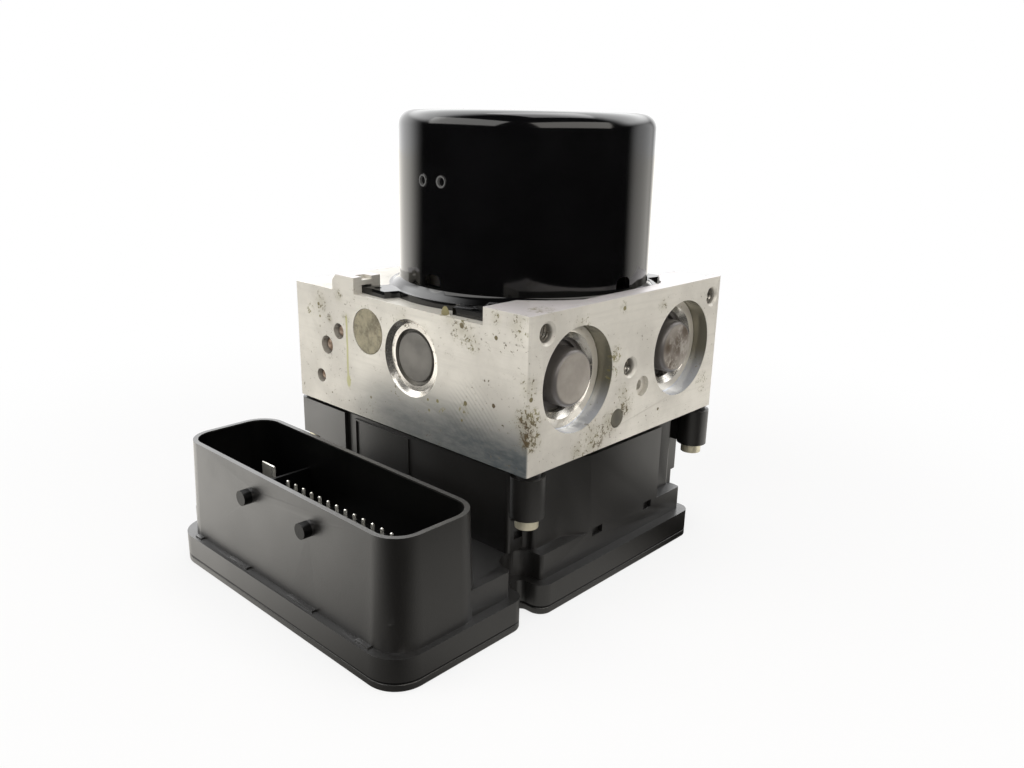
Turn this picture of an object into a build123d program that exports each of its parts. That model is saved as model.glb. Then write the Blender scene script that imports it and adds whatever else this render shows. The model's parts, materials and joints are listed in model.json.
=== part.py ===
from build123d import *
import os
from math import cos, radians, sin, sqrt

os.makedirs("parts", exist_ok=True)

# Frame: the origin lies under the middle of the valve block, on the plane the control unit rests on.
# X runs along the pump side, Y away from the connector, Z up the motor. All sizes are millimetres.

# Fits, all radial or per face
press_gap = 0.02
slide_gap = 0.05
rest_gap = 0.1
loose_gap = 0.3

# Valve block
block_x = 100.0
block_y = 89.0
block_z = 42.25
block_bottom = 41.0
block_edge = 0.5
deck_drop = 4.85
bar_front_x = 33.7
bar_rear_x = 36.0
bar_inner_x = 45.0
pocket_r = 44.2
pocket_end_y = 24.0
pocket_end_r = 8.0
bar_back_step = (11.1, 4.8, 1.4)
post_left_x = -30.5
post_width = 10.5
post_depth = 10.0
post_chamfer = 1.9
ear_notch = (3.4, 3.6)
ear_notch_front = 3.1
ear_lip_height = (2.4, 3.8)
stake_size = (4.6, 2.0, 2.3)
stake_at = (18.2, -43.1)
deck_z = block_bottom + block_z - deck_drop
block_top = block_bottom + block_z

# Pump, its bores lie on one line through the motor axis
pump_x = 5.3
motor_y = 1.9
pump_height = 22.9
pump_z = block_bottom + pump_height
eccentricity = 0.75
piston_r = 4.0
piston_length = 14.0
piston_spring_length = 5.6
piston_spring_r = 3.1
piston_wire_r = 0.4
piston_spring_coils = 3.5
sleeve_r = 8.0
sleeve_end_wall = 2.0
sleeve_start = 11.6
sleeve_groove = (22.0, 27.5, 7.3)
suction_port_r = 0.6
suction_port_at = 24.1
suction_drilling = (1.5, 8.5)
valve_seat_r = 1.2
ball_r = 1.6
ball_pocket_depth = 5.6
ball_spring_r = 1.1
ball_wire_r = 0.2
ball_spring_coils = 2.5
plug_r = 9.8
plug_face_r = 7.2
plug_recess = 1.7
stake_lip_r = 8.3
stake_lip = (1.5, 3.0)
pump_mouth_r = 11.2

# Accumulators, on the right face
accumulator_y = 24.65
accumulator_height = 22.4
accumulator_mouth_r = 14.6
accumulator_mouth_depth = 5.0
accumulator_cone_r = 12.0
accumulator_r = 10.4
accumulator_bore_start = 6.6
accumulator_bore_end = 29.0
cap_r = 8.0
cap_wall = 1.2
cap_depth = 1.7
cap_edge_r = 1.5
cap_flange = (9.4, 11.0)
retaining_ring = (7.9, 9.1)
ring_groove_r = 11.4
snap_ring_inner_r = 9.5
ring_gap_width = 6.0
accumulator_piston_length = 8.0
spring_pocket_r = 8.5
spring_pocket_depth = 5.5
accumulator_spring_r = 5.6
accumulator_wire_r = 0.9
accumulator_coils = 5

# Threaded and drilled holes
mount_thread_r = 2.5
mount_mouth_r = 3.2
mount_depths = (12.0, 13.0, 14.0)
mount_near = (-37.9, 37.0)
mount_far = (39.8, 36.4)
mount_middle = (-1.5, 21.4)
bleed_hole = (5.0, 14.6)
bleed_hole_r = (3.0, 1.6)
bleed_hole_depth = (1.6, 9.0)
side_plug = (-6.6, 7.4)
side_plug_r = 2.8
side_plug_depth = 3.0
plug_chamfer = 0.25
drill_plug_at = (-13.9, 27.2)
drill_plug_r = 6.85
drill_plug_depth = 4.0
drill_bore_r = 4.5
drill_bore_depth = 20.0
ball_plug_seats = ((-28.1, 24.8, 2.5), (-34.3, 19.4, 2.9), (-38.0, 8.8, 2.2))
ball_plug_mouth_depth = 0.7
ball_plug_wall = 0.8
ball_plug_drilling = 14.0

# Brake pipe ports, on the left face
wheel_port_r = 4.6
wheel_port_mouth_r = 5.4
wheel_port_pitch = 22.0
wheel_port_height = 28.5
master_port_r = 5.5
master_port_mouth_r = 6.3
master_port_pitch = 44.0
master_port_height = 15.0
port_depth = 12.0
port_drilling_r = 1.5
port_drilling = 4.0

# Motor
can_r = 38.1
can_wall = 1.6
can_height = 52.7
can_top_r = 4.5
flange_r = 41.5
flange_thickness = 2.0
flange_foot_r = 2.2
flange_clip_x = 44.4
ear_outer = (27.6, 43.0)
ear_inner = (14.3, 43.7)
ear_back = (23.3, 39.4)
ear_root = (22.0, 33.0)
ear_hole_r = 1.1
ear_hole_at = (20.4, 41.2)
slot_width = 6.4
slot_height = 3.4
slot_round_r = 2.2
slot_rise = 4.9
slot_depth = 2.2
slot_angles = (0, 90, 180, 270)
dimple_r = 1.25
dimple_rim_r = 1.75
dimple_rim = 0.25
dimple_depth = 0.8
dimple_rise = 33.8
dimple_angles = (264.5, 275.5, 84.5, 95.5)
crown_r = 12.0
crown_depth = 0.8

# Motor's inner pieces
shaft_r = 4.0
lower_shaft_r = 2.5
journal_r = 4.9
journal_height = 8.0
shaft_shoulder = 0.7
roller_r = 0.9
roller_count = 14
roller_length = 7.0
ring_wall = 1.8
cavity_r = 10.0
upper_bearing_r = 11.0
upper_bearing_height = 7.0
lower_bearing_r = 6.5
lower_bearing_height = 5.0
lower_bearing_z = 53.5
end_bearing_r = 8.0
end_bearing_bore_r = 3.0
end_bearing_height = 5.0
end_bearing_wall = 1.6
shield_depth = 0.4
shield_share = 0.3
brush_plate_thickness = 2.6
brush_plate_gap = 0.4
brush_plate_bore = 7.0
brush_box_start = 12.0
brush_box_gap = 6.5
brush_box_width = 9.0
brush_box_height = 8.6
brush_box_end = 1.2
brush_width = 6.2
brush_height = 5.8
brush_length = 10.0
brush_spring_r = 2.3
brush_wire_r = 0.35
brush_spring_coils = 4
commutator_r = 10.8
commutator_height = 10.0
commutator_rise = 4.1
commutator_gap = 0.5
commutator_slots = 12
commutator_slot = (0.6, 0.8)
air_gap = 0.6
core_slots = 12
core_slot_depth = 8.0
core_tooth = 2.4
core_slot_width = 5.0
core_slot_mouth = 2.0
winding_reach = 4.0
winding_inner_r = 12.0
winding_gap = 0.7
magnet_thickness = 6.4
magnet_overhang = 3.0
magnet_arc = 66.0
magnet_gap = 0.1
motor_plug_x = 30.0
motor_plug_r = 4.3
motor_plug_end = 24.0
motor_pin_width = 1.2
motor_pin_pitch = 3.4
seal_ring_r = (37.2, 38.8)
seal_ring_depth = 0.8

# Control unit housing, heights above the base plane
cover_thickness = 2.4
cover_edge = 0.4
flange_top = 9.0
skirt_top = 16.5
body_top = 40.0
boss_bottom = 28.4
outer_flange_x = 53.0
outer_flange_front = -40.4
outer_flange_rear = 33.0
outer_flange_tab_x = 42.0
outer_flange_tab_y = 45.6
outer_flange_r = 4.0
neck_x = 45.4
notch_r = 2.0
connector_left = -49.0
connector_right = 52.7
connector_front = -91.5
connector_rear = -46.0
connector_corner_r = 9.0
connector_rear_r = 4.5
skirt_inset = 3.0
cavity_inset = 5.4
body_x = 46.2
body_y = 43.3
body_notch_front = (3.2, 7.0)
body_notch_rear = (6.2, 14.3)
body_corner_r = 1.4
body_wall = 2.4
bulge_x = 50.0
bulge_y = (-17.5, 17.0)
bulge_ramp = 7.5
boss_at = (46.8, 40.3)
boss_r = 4.7
boss_web = (8.0, 4.0)
panel = (-22.4, 2.9, 21.0, 38.9)
panel_rise = 0.5
wall_flat = (-35.7, -26.6)
clip_slots = ((-13.0, 4.6), (12.0, 4.0))
clip_slot_z = (14.6, 17.0)
clip_slot_depth = 1.4
corner_slot = (-39.0, 4.0, 20.0, 22.4)
corner_slot_depth = 1.2
partition = (11.0, 13.0)

# Connector
shroud_left = -47.0
shroud_right = 51.0
shroud_front = -89.3
shroud_rear = -58.8
shroud_r = 9.0
shroud_top = 38.0
shroud_draft = 2.0
shroud_wall = 1.4
socket_floor = (15.5, 18.0)
peg_r = 2.1
peg_length = 3.6
peg_x = (-9.5, 17.8)
peg_z = 31.1
pin_pitch = 3.93
pin_row_x = 5.95
pin_row_y = -74.2
pin_row_pitch = 3.7
pin_rows = ((14, 1), (15, 0), (14, -1))
pin_width = 0.8
pin_tip = 27.0
pin_chamfer = 0.25
pin_gap = 0.05
pin_end = 4.6
coil_pin_pitch = 6.0
coil_pin_inset = 6.4
blade_reach = 35.5
blade_width = 6.3
blade_thickness = 0.8
blade_tip = 29.3
rib_offset = 29.5
rib_thickness = 1.0
foot_pads = ((-37.5, 3.0), (-15.5, 9.0), (14.5, 11.0), (40.0, 5.0))
foot_pad_width = 1.3
foot_pad_rise = 0.4

# Circuit board, gasket, screws
board_z = 6.0
board_thickness = 1.6
board_inset = 6.4
board_post_r = 2.2
board_posts = ((-38.0, -30.0), (38.0, -30.0), (-38.0, 24.0), (38.0, 24.0), (0.0, -30.0), (0.0, 24.0))
gasket_inset = 0.9
gasket_width = 1.5
screw_head_r = 3.2
screw_head_height = 3.0
screw_shank_r = 2.4
screw_socket_r = 1.6
screw_socket_depth = 1.6
screw_reach = 9.0
limiter_r = (3.5, 2.7)

# Solenoid valves and coils
valve_x = (-30.0, -10.0, 10.0, 30.0)
valve_y = 24.0
valve_stem_r = 5.4
valve_stem = 9.0
valve_collar_r = 6.6
valve_collar = 2.5
valve_bore_r = 1.2
dome_r = 4.0
dome_wall = 0.4
dome_end = 14.0
dome_base = 0.6
plunger_gap = 0.1
plunger_length = 12.0
plunger_lift = 0.3
plunger_pin_r = 0.8
plunger_pin_end = 48.5
plunger_end_gap = 0.2
coil_r = 8.6
coil_core_r = 7.6
coil_height = 21.0
coil_flange = 1.5

block_half_x = block_x / 2
block_half_y = block_y / 2
motor_axis = Axis((pump_x, motor_y, 0), (0, 0, 1))
ring_inner_r = journal_r + 2 * roller_r + slide_gap
ring_outer_r = ring_inner_r + ring_wall
foot_gap = eccentricity + slide_gap
journal_z = pump_z - journal_height / 2
can_inside = can_height - can_wall - crown_depth
end_bearing_z = deck_z + can_inside - end_bearing_height
commutator_z = deck_z + commutator_rise
brush_z = commutator_z + commutator_height / 2
brush_start = commutator_r + loose_gap
brush_end = brush_start + brush_length
brush_box_reach = can_r - can_wall - brush_box_gap
magnet_outer_r = can_r - can_wall - magnet_gap
magnet_r = magnet_outer_r - magnet_thickness
core_r = magnet_r - air_gap
core_slot_r = (core_r - core_tooth - core_slot_depth, core_r - core_tooth)
core_z = commutator_z + commutator_height + commutator_gap + winding_reach
core_length = end_bearing_z - winding_gap - winding_reach - core_z
magnet_length = core_length + 2 * magnet_overhang
piston_foot = ring_outer_r + foot_gap
piston_end = piston_foot + piston_length
sleeve_wall_start = piston_end + piston_spring_length
sleeve_end = sleeve_wall_start + sleeve_end_wall
pump_reach = {"front": block_half_y + motor_y, "rear": block_half_y - motor_y}
side_sign = {"front": -1, "rear": 1}
signal_pins_at = [
    (pin_row_x + (place - (count - 1) / 2) * pin_pitch, pin_row_y + step * pin_row_pitch)
    for count, step in pin_rows
    for place in range(count)
]
blades_at = [
    (pin_row_x + side_x * blade_reach, pin_row_y + step * pin_row_pitch)
    for side_x in (-1, 1)
    for step in (-1, 1)
]
coil_pins_at = [
    (x + side_x * coil_pin_pitch / 2, side_y * (valve_y - coil_pin_inset))
    for x in valve_x
    for side_y in (-1, 1)
    for side_x in (-1, 1)
]
motor_pins_at = [(motor_plug_x + side_x * motor_pin_pitch / 2, motor_y) for side_x in (-1, 1)]


def front_face(x, height):
    """The drilling plane on the front face, its normal pointing out of the block."""
    return Plane(origin=(x, -block_half_y, block_bottom + height), x_dir=(1, 0, 0), z_dir=(0, -1, 0))


def right_face(y, height):
    return Plane(origin=(block_half_x, y, block_bottom + height), x_dir=(0, 1, 0), z_dir=(1, 0, 0))


def left_face(y, height):
    return Plane(origin=(-block_half_x, y, block_bottom + height), x_dir=(0, -1, 0), z_dir=(-1, 0, 0))


def underside(x, y):
    return Plane(origin=(x, y, block_bottom), x_dir=(1, 0, 0), z_dir=(0, 0, -1))


def pump_seat(side):
    """The plane at the motor axis whose normal runs out along one pump bore."""
    return Plane(origin=(pump_x, motor_y, pump_z), x_dir=(1, 0, 0), z_dir=(0, side_sign[side], 0))


def accumulator_seat(side):
    return right_face(side_sign[side] * accumulator_y, accumulator_height)


def can_side(angle, height):
    turn = radians(angle)
    return Plane(
        origin=(pump_x + can_r * cos(turn), motor_y + can_r * sin(turn), height),
        x_dir=(-sin(turn), cos(turn), 0),
        z_dir=(cos(turn), sin(turn), 0),
    )


def motor_plane(height):
    return Plane(origin=(pump_x, motor_y, height))


def section_of(seat):
    """The plane that cuts a seat along its axis: first direction radial, second along the axis."""
    return Plane(origin=seat.origin, x_dir=seat.x_dir, z_dir=seat.y_dir * -1)


def axis_of(seat):
    return Axis(seat.origin, seat.z_dir)


def base_outline(height, inset=0.0):
    """The plan of the control unit's foot: main part, neck and connector part, with notched corners."""
    with BuildSketch(Plane.XY.offset(height)) as plan:
        with Locations((0, (outer_flange_front + outer_flange_rear) / 2)):
            RectangleRounded(2 * outer_flange_x, outer_flange_rear - outer_flange_front, outer_flange_r)
        with Locations((0, outer_flange_tab_y)):
            Rectangle(2 * outer_flange_tab_x, 2 * outer_flange_tab_y, align=(Align.CENTER, Align.MAX))
        with Locations(((connector_left + connector_right) / 2, (connector_front + connector_rear) / 2)):
            Rectangle(connector_right - connector_left, connector_rear - connector_front)
        front_corners = plan.vertices().group_by(Axis.Y)[0]
        fillet(front_corners, connector_corner_r)
        rear_corners = [v for v in plan.vertices() if abs(v.Y - connector_rear) < loose_gap]
        fillet(rear_corners, connector_rear_r)
        with Locations((0, -outer_flange_r)):
            Rectangle(2 * neck_x, -connector_rear, align=(Align.CENTER, Align.MAX))
        tab_corners = plan.vertices().group_by(Axis.Y)[-1]
        fillet(tab_corners, outer_flange_r)
        inner_corners = [v for v in plan.vertices() if abs(abs(v.X) - neck_x) < loose_gap and v.Y < 0]
        fillet(inner_corners, notch_r)
        if inset:
            offset(amount=-inset, kind=Kind.ARC)
    return plan.sketch


def body_outline(height, inset=0.0):
    """The plan of the housing's upper wall, with its corners cut back for the screws."""
    with BuildSketch(Plane.XY.offset(height)) as plan:
        Rectangle(2 * body_x, 2 * body_y)
        for side_x in (-1, 1):
            with Locations((side_x * body_x, -body_y)):
                Rectangle(2 * body_notch_front[0], 2 * body_notch_front[1], mode=Mode.SUBTRACT)
            with Locations((side_x * body_x, body_y)):
                Rectangle(2 * body_notch_rear[0], 2 * body_notch_rear[1], mode=Mode.SUBTRACT)
        fillet(plan.vertices(), body_corner_r)
        if inset:
            offset(amount=-inset, kind=Kind.ARC)
    return plan.sketch


def ring(base, outer_r, inner_r, height):
    """A plain ring round the motor axis."""
    with BuildPart() as solid:
        with BuildSketch(motor_plane(base)):
            Circle(outer_r)
            Circle(inner_r, mode=Mode.SUBTRACT)
        extrude(amount=height)
    return solid.part


def turned(seat, points):
    """A solid turned round a seat's axis from points of radius and distance along the axis."""
    with BuildPart() as solid:
        with BuildSketch(section_of(seat)):
            with BuildLine():
                Polyline(*points, close=True)
            make_face()
        revolve(axis=axis_of(seat))
    return solid.part


def spring(seat, start, end, radius, wire_r, coils):
    """A coil spring between two distances along a seat's axis, its wire of square section."""
    base = seat.origin + seat.z_dir * (start + wire_r)
    length = end - start - 2 * wire_r
    with BuildPart() as solid:
        with BuildLine() as path:
            Helix(pitch=length / coils, height=length, radius=radius, center=base, direction=seat.z_dir)
        wire_start = path.line @ 0
        with BuildSketch(Plane(origin=wire_start, x_dir=wire_start - base, z_dir=path.line % 0)):
            Rectangle(2 * wire_r, 2 * wire_r)
        sweep(path=path.line, is_frenet=True)
    return solid.part


def pin_openings(height, gap):
    """The square openings that the connector pins, coil pins and motor pins pass through."""
    with BuildSketch(Plane.XY.offset(height)) as plan:
        with Locations(*signal_pins_at):
            Rectangle(pin_width + 2 * gap, pin_width + 2 * gap)
        with Locations(*blades_at):
            Rectangle(blade_width + 2 * gap, blade_thickness + 2 * gap)
        with Locations(*coil_pins_at):
            Rectangle(pin_width + 2 * gap, pin_width + 2 * gap)
        with Locations(*motor_pins_at):
            Rectangle(motor_pin_width + 2 * gap, motor_pin_width + 2 * gap)
    return plan.sketch


# The aluminium block, milled and drilled from a slab
with BuildPart() as valve_block:
    with BuildSketch(Plane.XY.offset(block_bottom)) as slab:
        Rectangle(block_x, block_y)
        chamfer(slab.vertices(), block_edge)
    extrude(amount=block_z)
    # The deck is lower than the bar on the right
    with BuildSketch(Plane.XY.offset(deck_z)):
        with Locations((pump_x, motor_y)):
            Circle(pocket_r)
        with Locations((bar_inner_x, pocket_end_y)):
            corner = (Align.MAX, Align.MAX)
            RectangleRounded(block_x, block_y, pocket_end_r, align=corner, mode=Mode.INTERSECT)
        with BuildSketch(mode=Mode.PRIVATE) as flange_room:
            with Locations((pump_x, motor_y)):
                Circle(flange_r + loose_gap)
            with Locations((bar_inner_x, 0)):
                Rectangle(block_x, block_y, align=(Align.MAX, Align.CENTER), mode=Mode.INTERSECT)
        add(flange_room.sketch)
        with Locations((bar_front_x, 0)):
            Rectangle(block_x, block_y, align=(Align.MAX, Align.CENTER))
        with Locations((bar_rear_x, pocket_end_y)):
            Rectangle(block_x, block_y, align=(Align.MAX, Align.MIN))
    extrude(amount=deck_drop, mode=Mode.SUBTRACT)
    # The bar's rear end is stepped down beside its edge lip
    with BuildSketch(Plane.XY.offset(block_top)):
        with Locations((bar_rear_x - loose_gap, block_half_y)):
            Rectangle(bar_back_step[0], bar_back_step[1], align=(Align.MIN, Align.MAX))
    extrude(amount=-bar_back_step[2], mode=Mode.SUBTRACT)
    # The post stands at the front left corner of the motor seat
    with BuildSketch(front_face(0, 0)):
        with BuildLine():
            Polyline(
                (post_left_x, block_z - 2 * deck_drop),
                (post_left_x, block_z - post_chamfer),
                (post_left_x + post_chamfer, block_z),
                (post_left_x + post_width, block_z),
                (post_left_x + post_width, block_z - 2 * deck_drop),
                close=True,
            )
        make_face()
    extrude(amount=-post_depth)
    # The motor's ear slides into a notch of the post, under a staked lip
    notch_corner = (post_left_x + post_width, -block_half_y + ear_notch_front)
    with BuildSketch(Plane.XY.offset(deck_z)):
        with Locations(notch_corner):
            Rectangle(ear_notch[0], ear_notch[1], align=(Align.MAX, Align.MIN))
    extrude(amount=ear_lip_height[0], mode=Mode.SUBTRACT)
    with BuildSketch(Plane.XY.offset(deck_z + ear_lip_height[1])):
        with Locations(notch_corner):
            Rectangle(ear_notch[0], ear_notch[1], align=(Align.MAX, Align.MIN))
    extrude(amount=deck_drop, mode=Mode.SUBTRACT)
    # Metal staked up beside the motor flange
    with BuildSketch(Plane.XY.offset(deck_z - stake_size[2])):
        with Locations(stake_at):
            Ellipse(stake_size[0] / 2, stake_size[1] / 2)
    extrude(amount=2 * stake_size[2], taper=12)
    # Bearing seats and the eccentric's chamber, bored down from the deck
    with Locations(motor_plane(deck_z)):
        Hole(upper_bearing_r + press_gap, upper_bearing_height)
        Hole(cavity_r, deck_z - lower_bearing_z - lower_bearing_height)
        Hole(lower_bearing_r + press_gap, deck_z - lower_bearing_z)
    with Locations(Plane(origin=(motor_plug_x, motor_y, deck_z))):
        Hole(motor_plug_r + loose_gap)
    with BuildSketch(motor_plane(deck_z)):
        Circle(seal_ring_r[1])
        Circle(seal_ring_r[0], mode=Mode.SUBTRACT)
    extrude(amount=-seal_ring_depth, mode=Mode.SUBTRACT)
    # Pump bores, with a polished mouth and the lip that holds the plug
    for side, reach in pump_reach.items():
        with BuildSketch(section_of(pump_seat(side))):
            with BuildLine():
                Polyline(
                    (0, 0),
                    (piston_r + loose_gap, 0),
                    (piston_r + loose_gap, sleeve_start),
                    (sleeve_r + press_gap, sleeve_start),
                    (sleeve_r + press_gap, sleeve_end),
                    (plug_r + press_gap, sleeve_end),
                    (plug_r + press_gap, reach - stake_lip[1]),
                    (stake_lip_r, reach - stake_lip[1]),
                    (stake_lip_r, reach - stake_lip[0]),
                    (plug_r, reach - stake_lip[0]),
                    (pump_mouth_r, reach),
                    (0, reach),
                    close=True,
                )
            make_face()
        revolve(axis=axis_of(pump_seat(side)), mode=Mode.SUBTRACT)
    # Accumulator bores, each with a wide machined mouth and a ring groove
    for side in side_sign:
        with BuildSketch(section_of(accumulator_seat(side))):
            with BuildLine():
                Polyline(
                    (0, 0),
                    (accumulator_mouth_r, 0),
                    (accumulator_mouth_r, -accumulator_mouth_depth),
                    (accumulator_cone_r, -accumulator_mouth_depth),
                    (accumulator_r, -accumulator_bore_start),
                    (accumulator_r, -retaining_ring[0]),
                    (ring_groove_r, -retaining_ring[0]),
                    (ring_groove_r, -retaining_ring[1]),
                    (accumulator_r, -retaining_ring[1]),
                    (accumulator_r, -accumulator_bore_end),
                    (0, -accumulator_bore_end),
                    close=True,
                )
            make_face()
        revolve(axis=axis_of(accumulator_seat(side)), mode=Mode.SUBTRACT)
    # Each accumulator feeds its pump through a short drilling
    for side in side_sign:
        with Locations(accumulator_seat(side)):
            Hole(suction_drilling[0], accumulator_bore_end + suction_drilling[1])
    # Threaded mounting holes on the right face
    for (y, height), depth in zip((mount_near, mount_far, mount_middle), mount_depths):
        with Locations(right_face(y, height)):
            CounterSinkHole(mount_thread_r, mount_mouth_r, depth, 90)
    with Locations(right_face(*bleed_hole)):
        CounterBoreHole(bleed_hole_r[1], bleed_hole_r[0], bleed_hole_depth[0], bleed_hole_depth[1])
    with Locations(right_face(*side_plug)):
        Hole(side_plug_r + press_gap, side_plug_depth)
    # Cross drillings on the front face, closed by a disc and by balls
    with Locations(front_face(*drill_plug_at)):
        CounterBoreHole(drill_bore_r, drill_plug_r + press_gap, drill_plug_depth, drill_bore_depth)
    for x, height, radius in ball_plug_seats:
        with Locations(front_face(x, height)):
            CounterBoreHole(
                radius - ball_plug_wall,
                radius,
                ball_plug_mouth_depth + 2 * (radius - press_gap),
                ball_plug_drilling,
            )
    # Brake pipe ports on the left face
    for step in (-3, -1, 1, 3):
        with Locations(left_face(step * wheel_port_pitch / 2, wheel_port_height)):
            CounterSinkHole(wheel_port_r, wheel_port_mouth_r, port_depth, 90)
            Hole(port_drilling_r, port_depth + port_drilling)
    for step in (-1, 1):
        with Locations(left_face(step * master_port_pitch / 2, master_port_height)):
            CounterSinkHole(master_port_r, master_port_mouth_r, port_depth, 90)
            Hole(port_drilling_r, port_depth + port_drilling)
    # Valve seats and screw threads on the underside
    for x in valve_x:
        for y in (-valve_y, valve_y):
            with Locations(underside(x, y)):
                Hole(valve_stem_r + press_gap, valve_stem)
    for x in (-boss_at[0], boss_at[0]):
        for y in (-boss_at[1], boss_at[1]):
            with Locations(underside(x, y)):
                Hole(screw_shank_r + press_gap, screw_reach + screw_socket_depth)
valve_block.part.label = "valve_block"
export_step(valve_block.part, "parts/valve_block.step")

# The drawn steel can with its flange and four ears
with BuildPart() as motor_can:
    with BuildSketch(Plane.XY.offset(deck_z)):
        with Locations((pump_x, motor_y)):
            Circle(flange_r)
        for side_x in (-1, 1):
            for side_y in (-1, 1):
                with BuildLine():
                    Polyline(
                        (pump_x, motor_y),
                        (pump_x + side_x * ear_root[0], motor_y + side_y * ear_root[1]),
                        (pump_x + side_x * ear_back[0], motor_y + side_y * ear_back[1]),
                        (pump_x + side_x * ear_outer[0], motor_y + side_y * ear_outer[1]),
                        (pump_x + side_x * ear_inner[0], motor_y + side_y * ear_inner[1]),
                        close=True,
                    )
                make_face()
        with Locations((flange_clip_x, motor_y)):
            Rectangle(3 * flange_r, 3 * flange_r, align=(Align.MAX, Align.CENTER), mode=Mode.INTERSECT)
        with Locations((pump_x, block_half_y - loose_gap)):
            Rectangle(3 * flange_r, 3 * flange_r, align=(Align.CENTER, Align.MAX), mode=Mode.INTERSECT)
    extrude(amount=flange_thickness)
    with BuildSketch(section_of(motor_plane(deck_z))):
        with BuildLine():
            Polyline(
                (0, 0),
                (can_r, 0),
                (can_r + flange_foot_r, flange_thickness),
                (can_r, flange_thickness + flange_foot_r),
                (can_r, can_height),
                (0, can_height),
                close=True,
            )
        make_face()
    revolve(axis=motor_axis)
    with BuildSketch(Plane.XY.offset(deck_z)):
        with Locations((flange_clip_x, motor_y)):
            Rectangle(flange_r, 3 * flange_r, align=(Align.MIN, Align.CENTER))
    extrude(amount=flange_thickness + 2 * flange_foot_r, mode=Mode.SUBTRACT)
    fillet(motor_can.edges().group_by(Axis.Z)[-1], can_top_r)
    with BuildSketch(motor_plane(deck_z + can_height)):
        Circle(crown_r)
    extrude(amount=-crown_depth, mode=Mode.SUBTRACT)
    with BuildSketch(section_of(motor_plane(deck_z))):
        with BuildLine():
            Polyline(
                (0, 0),
                (can_r - can_wall, 0),
                (can_r - can_wall, can_height - can_top_r),
                (can_r - can_top_r, can_inside),
                (end_bearing_r + end_bearing_wall, can_inside),
                (end_bearing_r + end_bearing_wall, can_inside - end_bearing_height),
                (end_bearing_r + press_gap, can_inside - end_bearing_height),
                (end_bearing_r + press_gap, can_inside),
                (0, can_inside),
                close=True,
            )
        make_face()
    revolve(axis=motor_axis, mode=Mode.SUBTRACT)
    # Pressed windows above the flange, round at the top
    for angle in slot_angles:
        outward = can_side(angle, deck_z + slot_rise)
        with BuildSketch(outward) as window:
            Rectangle(slot_width, slot_height, align=(Align.CENTER, Align.MIN))
            fillet(window.vertices().group_by(Axis.Y)[-1], slot_round_r)
        extrude(amount=-slot_depth, both=True, mode=Mode.SUBTRACT)
    # Paired dimples with raised rims
    for angle in dimple_angles:
        outward = can_side(angle, deck_z + dimple_rise)
        with BuildSketch(outward.offset(-can_wall / 2)):
            Circle(dimple_rim_r)
        extrude(amount=can_wall / 2 + dimple_rim)
        with BuildSketch(outward.offset(dimple_rim)):
            Circle(dimple_r)
        extrude(amount=-dimple_depth, mode=Mode.SUBTRACT)
    for side_x in (-1, 1):
        ear_hole = (pump_x + side_x * ear_hole_at[0], motor_y - ear_hole_at[1], deck_z + flange_thickness)
        with Locations(Plane(origin=ear_hole)):
            Hole(ear_hole_r, flange_thickness)
motor_can.part.label = "motor_can"
export_step(motor_can.part, "parts/motor_can.step")

# Steel rings and seats that stay with the block and the can
with BuildPart() as motor_seal_ring:
    add(ring(deck_z, seal_ring_r[1] - press_gap, seal_ring_r[0] + press_gap, -seal_ring_depth))
motor_seal_ring.part.label = "motor_seal_ring"
export_step(motor_seal_ring.part, "parts/motor_seal_ring.step")

for name, base, outer_r, bore_r, height in (
    ("upper_bearing", deck_z - upper_bearing_height, upper_bearing_r, shaft_r, upper_bearing_height),
    ("lower_bearing", lower_bearing_z, lower_bearing_r, lower_shaft_r, lower_bearing_height),
    ("end_bearing", end_bearing_z, end_bearing_r, end_bearing_bore_r, end_bearing_height),
):
    with BuildPart() as bearing:
        add(ring(base, outer_r, bore_r + press_gap, height))
        # The shields sit back between the inner and outer rings
        shield_width = outer_r - bore_r
        for face, depth in ((base, shield_depth), (base + height, -shield_depth)):
            with BuildSketch(motor_plane(face)):
                Circle(outer_r - shield_width * shield_share)
                Circle(bore_r + shield_width * shield_share, mode=Mode.SUBTRACT)
            extrude(amount=depth, mode=Mode.SUBTRACT)
    bearing.part.label = name
    export_step(bearing.part, f"parts/{name}.step")

with BuildPart() as motor_magnets:
    with BuildSketch(motor_plane(core_z + (core_length - magnet_length) / 2)):
        for angle in (0, 90, 180, 270):
            with BuildLine():
                inner = CenterArc((0, 0), magnet_r, angle - magnet_arc / 2, magnet_arc)
                outer = CenterArc((0, 0), magnet_outer_r, angle - magnet_arc / 2, magnet_arc)
                Line(inner @ 0, outer @ 0)
                Line(inner @ 1, outer @ 1)
            make_face()
    extrude(amount=magnet_length)
motor_magnets.part.label = "motor_magnets"
export_step(motor_magnets.part, "parts/motor_magnets.step")

# The brush plate with a box for each brush
with BuildPart() as brush_holder:
    add(ring(deck_z, can_r - can_wall - brush_plate_gap, brush_plate_bore, brush_plate_thickness))
    for side in side_sign:
        seat = Plane(origin=(pump_x, motor_y, brush_z), x_dir=(1, 0, 0), z_dir=(0, side_sign[side], 0))
        box_bottom = deck_z + brush_plate_thickness
        with BuildSketch(Plane.XY.offset(box_bottom)):
            with Locations((pump_x, motor_y + side_sign[side] * (brush_box_start + brush_box_reach) / 2)):
                Rectangle(brush_box_width, brush_box_reach - brush_box_start)
        extrude(amount=brush_z + brush_box_height / 2 - box_bottom)
        with BuildSketch(seat):
            Rectangle(brush_width + 2 * slide_gap, brush_height + 2 * slide_gap)
        extrude(amount=brush_box_reach - brush_box_end, mode=Mode.SUBTRACT)
brush_holder.part.label = "brush_holder"
export_step(brush_holder.part, "parts/brush_holder.step")

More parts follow.
